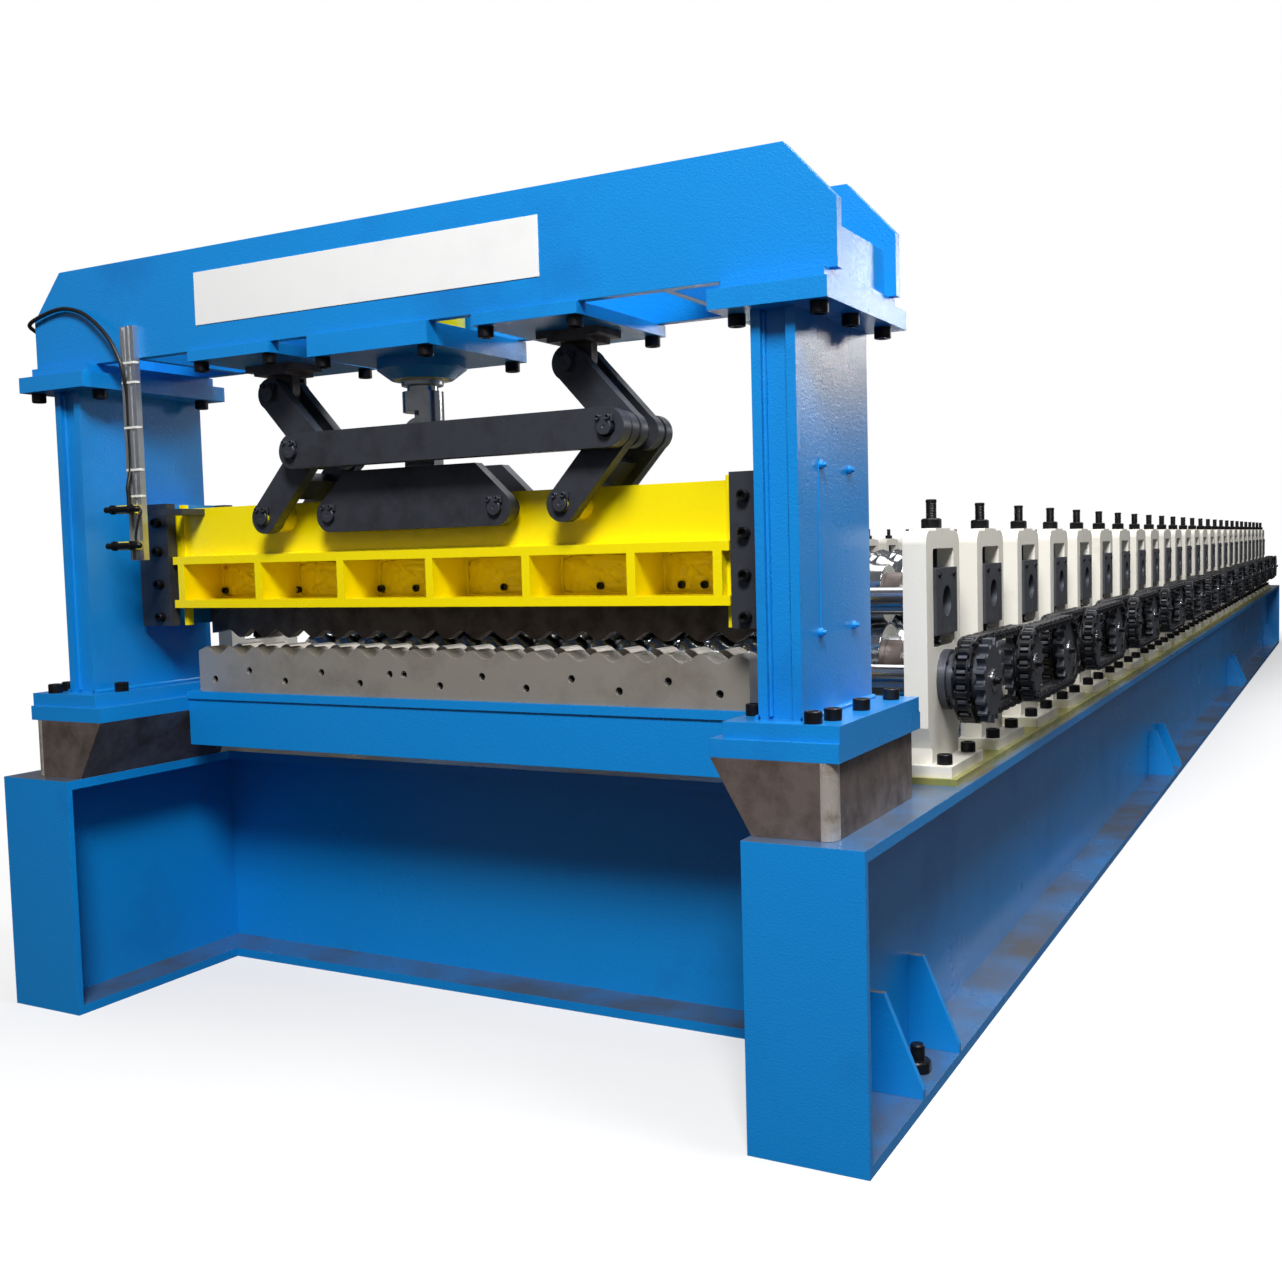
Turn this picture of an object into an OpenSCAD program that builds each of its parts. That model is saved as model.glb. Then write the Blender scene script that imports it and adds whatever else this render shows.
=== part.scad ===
// Corrugated-sheet roll forming machine with a hydraulic cut-off press at its outlet end.
// X runs across the machine (+X is the chain-drive side), Y runs from the press towards the
// sheet entry, Z is up. The origin is on the floor, at mid width, under the web of the first
// cross member. Lengths along the machine are written from the near ends of the rails, and
// place() moves them to the origin.

/* [Base frame] */
// Length of the two base rails
base_len = 10100; // [9900:10:11000]
// Distance from the centreline to the web of each rail
rail_x = 807; // [800:1:815]
// Width of the rail flanges
rail_w = 186; // [180:1:192]
// Height of the rails
rail_h = 463; // [420:1:520]
// Thickness of the rail flanges
flange_t = 18; // [12:1:24]
// Thickness of the rail webs
web_t = 12; // [8:1:20]
// Thickness of the plates that close the ends of the rails
end_plate_t = 12; // [8:1:20]
// Number of cross members
cross_count = 7; // [3:1:9]
// Place of the first cross member
cross_first = 515; // [480:1:560]
// Flange width of the cross members
cross_w = 190; // [150:1:220]
// Number of anchor points on each rail
anchor_count = 4; // [2:1:5]
// Height of the anchor gussets above the rail's lower flange
gusset_h = 160; // [120:1:200]
// Thickness of the anchor gussets
gusset_t = 12; // [8:1:16]

/* [Roll stations] */
// Number of roll stations
station_count = 26; // [20:1:26]
// Place of the first roll station
station_first = 632; // [625:1:640]
// Pitch of the drive chain
chain_pitch = 25.4; // [25.4]
// Links of one straight run of the drive chain, plus the half link at each sprocket
run_links = 13.5; // [13.5]
// Teeth of each sprocket row
sprocket_teeth = 17; // [17]
// Thickness of the shim strips under the stands
shim_t = 12; // [6:1:16]
// Thickness of the stand castings across the machine
stand_t = 42; // [36:1:48]
// Distance from the centreline to the outer face of the stands
stand_out = 836; // [830:1:840]
// Length of a stand along the machine
stand_d = 213; // [200:1:225]
// Height of the top of the stands above the floor
stand_top = 906; // [896:1:920]
// Width of the stand window
window_w = 133; // [120:1:140]
// Height of the lower shaft centres
lower_shaft_z = 636; // [630:1:640]
// Distance between the two shafts of a station
shaft_gap = 141; // [139:1:143]
// Radius of the shafts inside the rolls
shaft_r = 25; // [22:0.5:28]
// Radius of the shaft journals in the bearings
journal_r = 20; // [18:0.5:21]
// Half length of the rolls
roll_half = 625; // [620:1:630]
// Gap between the mean surfaces of the two rolls of a station
roll_gap = 1.8; // [1.6:0.1:4]

/* [Sheet profile] */
// Number of waves of the finished sheet
wave_count = 18; // [14:1:18]
// Pitch of the waves
wave_pitch = 66.5; // [64:0.5:67.5]
// Half height of the waves
wave_amp = 8.5; // [7:0.5:10]

/* [Press frame] */
// Height of the raw steel supports on the rails
support_h = 112; // [90:1:140]
// Thickness of the adapter plates
adapter_t = 28; // [20:1:35]
// Thickness of the column foot plates
foot_t = 25; // [18:1:30]
// Height of the columns between their plates
column_h = 595; // [560:1:640]
// Width of the columns
column_w = 69; // [60:1:75]
// Outer face of the columns
column_out = 783; // [778:1:788]
// Thickness of the column plates
column_plate = 15; // [10:1:18]
// Front of the columns
column_y0 = 75; // [70:1:80]
// Back of the columns
column_y1 = 385; // [375:1:395]
// Thickness of the seat plate on top of each column
seat_t = 30; // [24:1:36]
// Thickness of the packing plate between the seats and the crosshead
packing_t = 18; // [12:1:24]
// Half length of the crosshead
crosshead_half = 844; // [835:1:850]
// Height of the crosshead
crosshead_h = 185; // [160:1:210]
// Thickness of the crosshead plates
crosshead_plate = 20; // [14:1:25]
// Front of the crosshead
crosshead_y0 = 87; // [85:1:92]
// Back of the crosshead
crosshead_y1 = 374; // [366:1:380]
// Run of the crosshead's end chamfers
chamfer_x = 79; // [60:1:90]
// Drop of the crosshead's end chamfers
chamfer_z = 87; // [70:1:95]

/* [Ram and blades] */
// Stroke of the ram
stroke = 50; // [40:1:50]
// Half length of the ram
ram_half = 602; // [596:1:606]
// Bottom of the ram at rest
ram_z0 = 790; // [785:1:800]
// Top of the ram at rest
ram_z1 = 989; // [980:1:1000]
// Front of the ram's ribs
ram_y0 = 200; // [196:1:204]
// Middle of the ram's upper plate, in line with the linkage
ram_plate_y = 235; // [233:1:237]
// Thickness of the ram's upper plate
ram_plate_t = 20; // [16:1:22]
// Depth of the ram's pockets
pocket_d = 105; // [101:1:107]
// Thickness of the ram's ribs
rib_t = 16; // [12:1:18]
// Number of ribs between the ram's pockets
pocket_ribs = 5; // [3:1:5]
// Place of the first rib between pockets
pocket_first = -387; // [-395:1:-380]
// Distance between two ribs
pocket_pitch = 206; // [196:1:212]
// Half length of the upper blade
blade_half = 645; // [622:1:645]
// Thickness of the upper blade
blade_t = 20; // [16:1:22]
// Clearance between the blade and each die
blade_gap = 7; // [6:0.5:8]
// Half length of the lower die
die_half = 619; // [612:1:624]
// Front of the lower die
die_y0 = 260; // [256:1:264]
// Bottom of the lower die
die_z0 = 615; // [614:1:620]
// Mean height of the die's waves
die_wave_z = 699; // [690:1:702]
// Opening between the die's waves and the blade's waves at rest
sheet_gap = 32; // [26:1:34]

/* [Knee linkage] */
// Distance from the centreline to the fixed pivots
pivot_x = 330; // [320:1:340]
// Height of the fixed pivots
pivot_z = 1195; // [1190:1:1200]
// Height of the ram pivots at rest
ram_pivot_z = 961; // [957:1:963]
// Length of each knee arm between its pins
arm_len = 159; // [157:1:162]
// Radius of the rounded arm ends
arm_r = 30; // [28:1:32]
// Thickness of the arm cheeks
cheek_t = 22; // [18:1:24]
// Radius of the linkage pins
pin_r = 13; // [11:0.5:15]
// Clearance between neighbouring cheeks
cheek_gap = 8; // [6:0.5:9]
// Radius clearance of the opened knee pivots
knee_gap = 3; // [3:0.1:3.5]
// Height of the tie bar
tie_h = 64; // [58:1:68]
// Radius of the press cylinder's rod
rod_r = 28; // [22:1:31]
// Outer radius of the press cylinder
cylinder_r = 80; // [70:1:90]

/* [Hidden] */
$fn = 48;
fit = 0.05;          // radius clearance of a shaft in its bore
seat_gap = 0.3;      // gap between pieces whose curved faces meet
weld = 0.01;         // overlap of pieces that are one weldment

datum_y = cross_first;
station_pitch = chain_pitch * run_links;
flange_in = rail_x - rail_w / 2;
flange_out = rail_x + rail_w / 2;
upper_shaft_z = lower_shaft_z + shaft_gap;
stand_in = stand_out - stand_t;
stand_z0 = rail_h + shim_t;
roll_r = (shaft_gap - roll_gap) / 2;
block_half = 59;     // from the upper shaft's centre to the top and the bottom of its block
hub_r = 54;
window_z0 = lower_shaft_z + hub_r + 7;
window_z1 = upper_shaft_z + block_half + 34;
block_z0 = upper_shaft_z - block_half;
block_z1 = upper_shaft_z + block_half;
hub_t = 14;
spigot_r = 38;
sprocket_x = 900;
row_pitch = 31.88;
row_w = 15.6;
teeth_half = (row_pitch + row_w) / 2;     // from the middle of a sprocket to its outer faces
groove_half = (row_pitch - row_w) / 2;    // from the middle of a sprocket to its inner faces
pitch_r = chain_pitch / 2 / sin(180 / sprocket_teeth);
roller_r = 7.95;
roller_w = 17;
chain_plate_t = 3.6;
chain_plate_h = 22;
tip_r = pitch_r + 6.5;
shaft_end_x = sprocket_x + teeth_half + 2;

support_z1 = rail_h + support_h;
adapter_z1 = support_z1 + adapter_t;
foot_z1 = adapter_z1 + foot_t;
column_z1 = foot_z1 + column_h;
seat_z1 = column_z1 + seat_t;
crosshead_z0 = seat_z1 + packing_t;
crosshead_z1 = crosshead_z0 + crosshead_h;
column_in = column_out - column_w;
plate_in = 652;      // inner edge of the adapter plates
plate_out = 852;     // outer edge of the adapter plates
press_y0 = 35;       // front of the press's plates
press_y1 = 425;      // back of the press's plates

die_t = 58;
back_y0 = ram_y0 + pocket_d;
back_t = 20;
blade_y0 = back_y0 + back_t;
rib_z = 877;         // underside of the ram's middle rib
end_plate_w = 10;
gib_in = ram_half + end_plate_w + 8;
gib_z0 = ram_z0 - 36;
gib_z1 = ram_z1 + 11;

knee_dz = (pivot_z - ram_pivot_z) / 2;
knee_dx = sqrt(arm_len * arm_len - knee_dz * knee_dz);
knee_z = pivot_z - knee_dz;
cheek_in_y = ram_plate_t / 2 + cheek_gap;                 // upper arm cheeks, from the plate's middle
cheek_out_y = cheek_in_y + cheek_t + cheek_gap;           // lower arm cheeks, from the plate's middle
tie_t = 25;
tie_y1 = ram_plate_y - cheek_out_y - cheek_t - cheek_gap;
tie_y0 = tie_y1 - tie_t;
link_pin_x = 185;
link_spacer = 20;    // gap between the ram's upper plate and each link plate
link_r = 31;
link_top_x = 145;
link_top_z = 1040;

rail_bar_x0 = -589;
rail_bar_w = 36;
rail_bar_d = 13;
rail_bar_z0 = 888;
rail_bar_z1 = crosshead_z0 + 60;
rail_bar_y0 = crosshead_y0 - rail_bar_d;
groove_w = 9;
groove_d = 7;
switch_h = 16;
switch_t = 14;
switch_z = [908, 977];   // undersides of the two switches
cable_r = 4;
cable_x = rail_bar_x0 + 6 + groove_w / 2;
cable_in_y = rail_bar_y0 + groove_d - cable_r - seat_gap;   // cable in the rail's groove
cable_out_y = rail_bar_y0 - cable_r - 3;                    // cable in front of the rail
cable_points = [
    [-824.3, 200, 1320], [-845, 200, 1321], [-864, 184, 1328], [-872, 145, 1342], [-868, 105, 1355],
    [-850, 80, 1364], [-800, 78, 1378], [-750, 78, 1383], [-700, 76, 1372], [-655, 71, 1348],
    [-612, cable_out_y, 1312], [cable_x - 8, cable_out_y, 1272], [cable_x, cable_out_y + 2, 1242],
    [cable_x, cable_in_y, 1195], [cable_x, cable_in_y, 1070], [cable_x, cable_out_y, 1030], [cable_x, cable_out_y, 1012],
    [cable_x, cable_out_y, switch_z[1] + switch_h + seat_gap]
];

blue = "#1478c8";
raw_steel = "#6b645c";
black_oxide = "#2b2b2e";
bright_steel = "#b9bcc0";
casting = "#d9d6cc";
zinc = "#b9b56a";
yellow = "#ffe400";
alu = "#c9cdd2";

// Moves lengths along the machine from the rails' near ends to the origin
module place() {
    translate([0, -datum_y, 0]) children();
}

// Carries an outline in X and Z along the machine
module along_y(y0, y1) {
    translate([0, y1, 0]) rotate([90, 0, 0]) linear_extrude(y1 - y0) children();
}

// Carries an outline in Y and Z across the machine
module along_x(x0, x1) {
    translate([x0, 0, 0]) rotate([90, 0, 90]) linear_extrude(x1 - x0) children();
}

// Box between two corners
module box(a, b) {
    translate(a) cube(b - a);
}

// Round bar along X
module bar_x(x0, x1, y, z, r) {
    translate([x0, y, z]) rotate([0, 90, 0]) cylinder(h = x1 - x0, r = r);
}

// Round bar along Y
module bar_y(x, y0, y1, z, r) {
    translate([x, y1, z]) rotate([90, 0, 0]) cylinder(h = y1 - y0, r = r);
}

// The same piece on both sides of the centreline
module both_sides() {
    children();
    mirror([1, 0, 0]) children();
}

// One piece at each roll station
module each_station() {
    for (i = [0 : station_count - 1])
        translate([0, station_first + i * station_pitch, 0]) children();
}

// Rounded rectangle from four circles and two bars, so that its corners stay true arcs
module round_rect(x0, z0, x1, z1, r) {
    translate([x0 + r, z0]) square([x1 - x0 - 2 * r, z1 - z0]);
    translate([x0, z0 + r]) square([x1 - x0, z1 - z0 - 2 * r]);
    for (x = [x0 + r, x1 - r]) for (z = [z0 + r, z1 - r]) translate([x, z]) circle(r);
}

// Base frame

module rail(side) {
    along_y(end_plate_t, base_len - end_plate_t) {
        translate([side * rail_x - rail_w / 2, 0]) square([rail_w, flange_t]);
        translate([side * rail_x - rail_w / 2, rail_h - flange_t]) square([rail_w, flange_t]);
        translate([side * rail_x - web_t / 2, 0]) square([web_t, rail_h]);
    }
    for (y = [0, base_len - end_plate_t])
        along_y(y, y + end_plate_t) translate([side * rail_x - rail_w / 2, 0]) square([rail_w, rail_h]);
}

module base_rail_right() {
    color(blue) place() rail(1);
}

module base_rail_left() {
    color(blue) place() rail(-1);
}

cross_last = base_len - end_plate_t - cross_w / 2 - 4;
cross_step = (cross_last - cross_first) / (cross_count - 1);

module base_cross_members() {
    color(blue) place() for (i = [0 : cross_count - 1]) {
        y = cross_first + i * cross_step;
        for (z = [0, rail_h - flange_t])
            box([-flange_in, y - cross_w / 2, z], [flange_in, y + cross_w / 2, z + flange_t]);
        box([-rail_x + web_t / 2, y - web_t / 2, flange_t], [rail_x - web_t / 2, y + web_t / 2, rail_h - flange_t]);
    }
}

anchor_first = 365;
anchor_step = (base_len - 2 * anchor_first) / (anchor_count - 1);
anchor_half = 105;

// Gusset plate that stands on the lower flange against the web
module gusset() {
    x0 = rail_x + web_t / 2;
    polygon([[x0, flange_t], [flange_out, flange_t], [flange_out, flange_t + 14],
             [x0 + 26, flange_t + gusset_h], [x0, flange_t + gusset_h]]);
}

module anchor_brackets() {
    color(blue) place() both_sides() for (i = [0 : anchor_count - 1]) {
        y = anchor_first + i * anchor_step;
        for (s = [-1, 1])
            along_y(y + s * anchor_half - gusset_t / 2, y + s * anchor_half + gusset_t / 2) gusset();
    }
}

module shim_strips() {
    color(zinc) place() both_sides()
        box([stand_in - 4, station_first - stand_d / 2 - 6, rail_h],
            [flange_out - 14, station_first + (station_count - 1) * station_pitch + stand_d / 2 + 6, stand_z0]);
}

// Roll stands

foot_out = 40;
foot_h = 20;

// Side view of a stand, with its window and its lower bearing hole
module stand_outline() {
    half = stand_d / 2;
    waist = half - 22;
    difference() {
        union() {
            round_rect(-half, 560, half, stand_top - 4, 24);
            polygon([[-half, 620], [-half, 560], [-waist, 522], [-waist, stand_z0],
                     [waist, stand_z0], [waist, 522], [half, 560], [half, 620]]);
            translate([-44, stand_top - 20]) square([88, 20]);
        }
        round_rect(-window_w / 2, window_z0, window_w / 2, window_z1, 7);
        translate([0, lower_shaft_z]) circle(spigot_r + fit);
    }
}

module stand() {
    difference() {
        union() {
            along_x(stand_in, stand_out) stand_outline();
            box([stand_in, -stand_d / 2, stand_z0], [stand_out + foot_out, stand_d / 2, stand_z0 + foot_h]);
        }
        translate([(stand_in + stand_out) / 2, 0, window_z1 - 5]) cylinder(h = 60, r = screw_r + fit);
    }
}

module roll_stands_right() {
    color(casting) place() each_station() stand();
}

module roll_stands_left() {
    color(casting) place() each_station() mirror([1, 0, 0]) stand();
}

block_out = 6;
block_bore = journal_r + fit;
recess_r = 27;
recess_d = 20;
upper_end_x = stand_out + block_out - recess_d + 2;   // end of the upper shafts, inside the recess

module upper_bearing_blocks() {
    color(black_oxide) place() each_station() both_sides() difference() {
        box([stand_in - 6, -window_w / 2 + seat_gap, block_z0], [stand_out + block_out, window_w / 2 - seat_gap, block_z1]);
        bar_x(stand_in - 10, stand_out, 0, upper_shaft_z, block_bore);
        bar_x(stand_out + block_out - recess_d, stand_out + block_out + 1, 0, upper_shaft_z, recess_r);
    }
}

module lower_bearing_hubs() {
    color(black_oxide) place() each_station() both_sides() difference() {
        union() {
            bar_x(stand_in - 4, stand_out + 1, 0, lower_shaft_z, spigot_r);
            bar_x(stand_out, stand_out + hub_t, 0, lower_shaft_z, hub_r);
        }
        bar_x(stand_in - 10, stand_out + 20, 0, lower_shaft_z, journal_r + fit);
    }
}

screw_r = 10;
nut_af = 32;
nut_h = 18;
screw_up = 52;

module adjusting_screws() {
    color(black_oxide) place() each_station() both_sides() translate([(stand_in + stand_out) / 2, 0, 0]) {
        translate([0, 0, block_z1]) cylinder(h = stand_top + screw_up - block_z1, r = screw_r);
        translate([0, 0, stand_top]) cylinder(h = nut_h, r = nut_af / sqrt(3), $fn = 6);
    }
}

spring_r = 13;
spring_wire = 2.1;
spring_turns = 4;

// Half section of a spring: a sleeve whose outside goes in and out once at each turn
module spring_outline(h) {
    inner = spring_r - 2 * spring_wire;
    polygon(concat(
        [[inner, 0]],
        [for (k = [0 : 2 * spring_turns]) [spring_r - (k % 2) * spring_wire, k * h / (2 * spring_turns)]],
        [[inner, h]]));
}

module block_springs() {
    color(black_oxide) place() each_station() both_sides() translate([(stand_in + stand_out) / 2, 0, window_z0])
        rotate_extrude() spring_outline(block_z0 - window_z0);
}

// Shafts and rolls

journal_x = stand_in - 8;

module upper_shafts() {
    color(bright_steel) place() each_station() {
        bar_x(-journal_x, journal_x, 0, upper_shaft_z, shaft_r);
        bar_x(-upper_end_x, upper_end_x, 0, upper_shaft_z, journal_r);
    }
}

module lower_shafts() {
    color(bright_steel) place() each_station() {
        bar_x(-journal_x, journal_x, 0, lower_shaft_z, shaft_r);
        bar_x(-stand_out - 18, shaft_end_x, 0, lower_shaft_z, journal_r);
    }
}

// Waves that a station has formed, from a few at the entry to all at the press
function waves_at(i) = min(wave_count, 2 + floor((station_count - 1 - i) * 0.75));
steps_per_wave = 6;

// Half section of a corrugated roll: side is 1 for an upper roll and -1 for a lower one
module roll_outline(i, side) {
    n = waves_at(i);
    span = n * wave_pitch / 2;
    flat_r = roll_r - side * wave_amp;
    top = [for (k = [0 : n * steps_per_wave])
        let (x = -span + k * wave_pitch / steps_per_wave)
        [roll_r - side * wave_amp * cos(360 * (x + span) / wave_pitch), x]];
    polygon(concat([[shaft_r + fit, -roll_half], [flat_r, -roll_half]], top,
                   [[flat_r, roll_half], [shaft_r + fit, roll_half]]));
}

module roll(i, side, z) {
    translate([0, station_first + i * station_pitch, z]) rotate([0, 90, 0])
        rotate_extrude() roll_outline(i, side);
}

module upper_rolls() {
    color(bright_steel) place() for (i = [0 : station_count - 1]) roll(i, 1, upper_shaft_z);
}

module lower_rolls() {
    color(bright_steel) place() for (i = [0 : station_count - 1]) roll(i, -1, lower_shaft_z);
}

collar_w = 34;
collar_r = 44;

module shaft_collars() {
    color(raw_steel) place() each_station() both_sides() for (z = [lower_shaft_z, upper_shaft_z]) difference() {
        bar_x(roll_half + seat_gap, roll_half + seat_gap + collar_w, 0, z, collar_r);
        bar_x(roll_half - 1, roll_half + collar_w + 2, 0, z, shaft_r + fit);
    }
}

// Chain drive

half_tooth = 180 / sprocket_teeth;

seat_r = roller_r + seat_gap;
flank_h = tip_r - pitch_r + 1.5;   // reach of the gap's open end past the pitch circle
flank_w = 3.6;                     // widening of each flank over that reach

// Side view of a sprocket: a disc with a gap for each chain roller, round inside and open outside
module tooth_outline(turn) {
    difference() {
        circle(tip_r, $fn = 96);
        for (k = [0 : sprocket_teeth - 1])
            rotate(90 + turn + 2 * half_tooth * k) translate([pitch_r, 0]) {
                circle(seat_r, $fn = 32);
                polygon([[-1, -seat_r], [flank_h, -seat_r - flank_w], [flank_h, seat_r + flank_w], [-1, seat_r]]);
            }
        circle(journal_r + fit);
    }
}

sprocket_hub_r = 46;

// Turn of the sprocket at a station, so that both of its chains lie in its teeth
function sprocket_turn(i) = (i % 2 == 0) ? 0 : half_tooth;

module sprockets() {
    color(black_oxide) place() for (i = [0 : station_count - 1])
        translate([0, station_first + i * station_pitch, lower_shaft_z]) {
            difference() {
                along_x(sprocket_x - teeth_half, sprocket_x + teeth_half) tooth_outline(sprocket_turn(i));
                along_x(sprocket_x - groove_half, sprocket_x + groove_half) difference() {
                    circle(tip_r + 1);
                    circle(sprocket_hub_r);
                }
            }
            along_x(stand_out + hub_t + seat_gap, sprocket_x - teeth_half) difference() {
                circle(sprocket_hub_r);
                circle(journal_r + fit);
            }
        }
}

// Roller centres of a chain that joins two sprockets, with the first roller on top of the
// first sprocket: two arcs of rollers and the two straight runs between them
wrap_n = (sprocket_teeth - 1) / 2;
run_n = run_links + 0.5;
function on_circle(y, a) = [y + pitch_r * cos(a), pitch_r * sin(a)];
function wrap(y, a0) = [for (k = [0 : wrap_n]) on_circle(y, a0 + 2 * half_tooth * k)];
function run(a, b) = [for (k = [1 : run_n - 1]) a + (b - a) * k / run_n];
near_wrap = wrap(0, 90);
far_wrap = wrap(station_pitch, 270);
roller_points = concat(near_wrap, run(near_wrap[wrap_n], far_wrap[0]), far_wrap, run(far_wrap[wrap_n], near_wrap[0]));

// Side view of one layer of chain plates: a loop of constant height
module chain_loop() {
    difference() {
        union() {
            for (y = [0, station_pitch]) translate([y, 0]) circle(pitch_r + chain_plate_h / 2, $fn = 96);
            translate([0, -pitch_r - chain_plate_h / 2]) square([station_pitch, 2 * pitch_r + chain_plate_h]);
        }
        for (y = [0, station_pitch]) translate([y, 0]) circle(pitch_r - chain_plate_h / 2, $fn = 96);
        translate([0, -pitch_r + chain_plate_h / 2]) square([station_pitch, 2 * pitch_r - chain_plate_h]);
    }
}

module chain() {
    for (s = [-1, 1]) {
        x = s * (roller_w + chain_plate_t) / 2;
        along_x(x - chain_plate_t / 2, x + chain_plate_t / 2) chain_loop();
    }
    for (p = roller_points)
        bar_x(-roller_w / 2 - weld, roller_w / 2 + weld, p[0], p[1], roller_r, $fn = 16);
}

module drive_chains() {
    color(black_oxide) place() for (i = [0 : station_count - 2]) {
        odd = i % 2;
        translate([sprocket_x + (odd == 0 ? -1 : 1) * row_pitch / 2, station_first + i * station_pitch, lower_shaft_z])
            if (odd == 0) chain();
            else translate([0, station_pitch, 0]) mirror([0, 1, 0]) chain();
    }
}

// Sheet entry

guide_y0 = station_first + (station_count - 1) * station_pitch + 190;
guide_len = 330;

module entry_guide() {
    table_z = lower_shaft_z + roll_r - 8;
    color(blue) place() {
        both_sides() box([stand_in - 30, guide_y0, rail_h], [stand_in + 30, guide_y0 + guide_len, rail_h + 16]);
        both_sides() for (y = [guide_y0 + 20, guide_y0 + guide_len - 60])
            box([stand_in - 20, y, rail_h + 16], [stand_in + 20, y + 40, table_z - 24]);
        for (y = [guide_y0 + 20, guide_y0 + guide_len - 60])
            box([-stand_in - 30, y - 10, table_z - 24], [stand_in + 30, y + 50, table_z - 8]);
        box([-700, guide_y0, table_z - 8], [700, guide_y0 + guide_len, table_z]);
        both_sides() box([640, guide_y0 + 10, table_z], [680, guide_y0 + guide_len - 10, table_z + 60]);
    }
}

// Press frame

support_out = plate_out - 7;
wall_t = 18;
corner_r = 18;

// Front view of a support, up to its outer edge
module support_trapezoid(out) {
    polygon([[plate_in, support_z1], [flange_in + 2, rail_h], [out, rail_h], [out, support_z1]]);
}

// Two shaped plates joined by a sloped inner wall and a straight outer wall, with a round bar in
// the front corner
module press_support() {
    y0 = press_y0;
    y1 = press_y1 - 27;
    bar_at = support_out - corner_r;
    along_y(y0, y0 + 15) support_trapezoid(bar_at);
    along_y(y1 - 15, y1) support_trapezoid(support_out);
    along_y(y0 + weld, y1 - weld)
        polygon([[plate_in, support_z1], [flange_in + 2, rail_h], [flange_in + 2 + wall_t, rail_h], [plate_in + wall_t, support_z1]]);
    box([support_out - wall_t, y0 + corner_r, rail_h], [support_out, y1 - weld, support_z1]);
    translate([bar_at, y0 + corner_r, rail_h]) cylinder(h = support_h, r = corner_r);
}

module press_supports() {
    color(raw_steel) place() both_sides() press_support();
}

module column() {
    box([plate_in, press_y0, support_z1], [plate_out, press_y1, adapter_z1]);
    box([plate_in + 19, press_y0 + 6, adapter_z1], [plate_out, press_y1 - 6, foot_z1]);
    for (x = [column_in, column_out - column_plate])
        box([x, column_y0, foot_z1], [x + column_plate, column_y1, column_z1]);
    for (y = [column_y0 + 12, column_y1 - 12 - column_plate])
        box([column_in + 5, y, foot_z1], [column_out - 5, y + column_plate, column_z1]);
    box([plate_in + 8, press_y0 + 8, column_z1], [crosshead_half, press_y1 - 20, seat_z1]);
    box([plate_in + 20, press_y0 + 30, seat_z1], [crosshead_half - 12, press_y1 - 40, crosshead_z0]);
    box([gib_in + 30, gib_y0 + gib_t, gib_z0], [column_in + weld, gib_y1 - gib_t, gib_z1]);
}

module column_right() {
    color(blue) place() column();
}

module column_left() {
    color(blue) place() mirror([1, 0, 0]) column();
}

gib_t = 22;
gib_y0 = ram_plate_y - ram_plate_t / 2 - 9 - gib_t;
gib_y1 = blade_y0 + blade_t + 6 + gib_t;

module guide_gibs() {
    color(black_oxide) place() both_sides() for (y = [gib_y0, gib_y1 - gib_t])
        box([gib_in, y, gib_z0], [column_in - 12, y + gib_t, gib_z1]);
}

beam_y1 = 420;
beam_z0 = 503;
beam_top_t = 16;
beam_plate = 16;

module lower_crossbeam() {
    y0 = die_y0 - 6;
    z1 = die_z0 - beam_top_t;
    color(blue) place() {
        box([-plate_in, y0, z1], [plate_in, beam_y1, die_z0]);
        box([-plate_in, y0 + 4, beam_z0], [plate_in, y0 + 4 + beam_plate, z1]);
        box([-plate_in, beam_y1 - 4 - beam_plate, beam_z0], [plate_in, beam_y1 - 4, z1]);
        box([-plate_in, y0 + 4, beam_z0], [plate_in, beam_y1 - 4, beam_z0 + beam_plate]);
    }
}

// Height of the sheet's wave line across the machine
function wave_z(x, z) = z + wave_amp * cos(360 * x / wave_pitch);
wave_span = wave_count * wave_pitch / 2;
wave_steps = wave_count * 8;
function wave_line(z) = [for (k = [0 : wave_steps])
    let (x = -wave_span + 2 * wave_span * k / wave_steps) [x, wave_z(x, z)]];

// Die block whose top follows the sheet
module die(half, z) {
    polygon(concat([[half, z], [half, die_z0], [-half, die_z0], [-half, z]], wave_line(z)));
}

die_bolt_pitch = 95;
die_bolt_first = -575;
die_bolt_last = 12;      // number of the last hole
die_double = 5;          // number of the place that has two holes side by side

// Places of the holes across the die
die_bolt_x = [for (i = [0 : die_bolt_last]) each (i == die_double)
    ? [[die_bolt_first + i * die_bolt_pitch - 22, i], [die_bolt_first + i * die_bolt_pitch + 12, i]]
    : [[die_bolt_first + i * die_bolt_pitch, i]]];

module lower_dies() {
    y_mid = die_y0 + die_t;
    color(bright_steel) place() {
        difference() {
            along_y(die_y0, y_mid) die(die_half, die_wave_z);
            for (hole = die_bolt_x)
                bar_y(hole[0], die_y0 - 1, die_y0 + 14, die_z0 + (hole[1] % 2 == 0 ? 26 : 45), 7, $fn = 24);
        }
        along_y(blade_y0 + blade_t + blade_gap, beam_y1 - 6) die(die_half, die_wave_z);
    }
}

// Crosshead

module crosshead_outline(inset) {
    h = crosshead_half - inset;
    polygon([[-h, crosshead_z0], [h, crosshead_z0], [h, crosshead_z1 - chamfer_z],
             [h - chamfer_x, crosshead_z1], [-h + chamfer_x, crosshead_z1], [-h, crosshead_z1 - chamfer_z]]);
}

module crosshead_front_plate() {
    color(blue) place() along_y(crosshead_y0, crosshead_y0 + crosshead_plate) crosshead_outline(0);
}

module crosshead_rear_plate() {
    color(blue) place() along_y(crosshead_y1 - crosshead_plate, crosshead_y1) crosshead_outline(0);
}

web_places = [260, 560];

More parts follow.
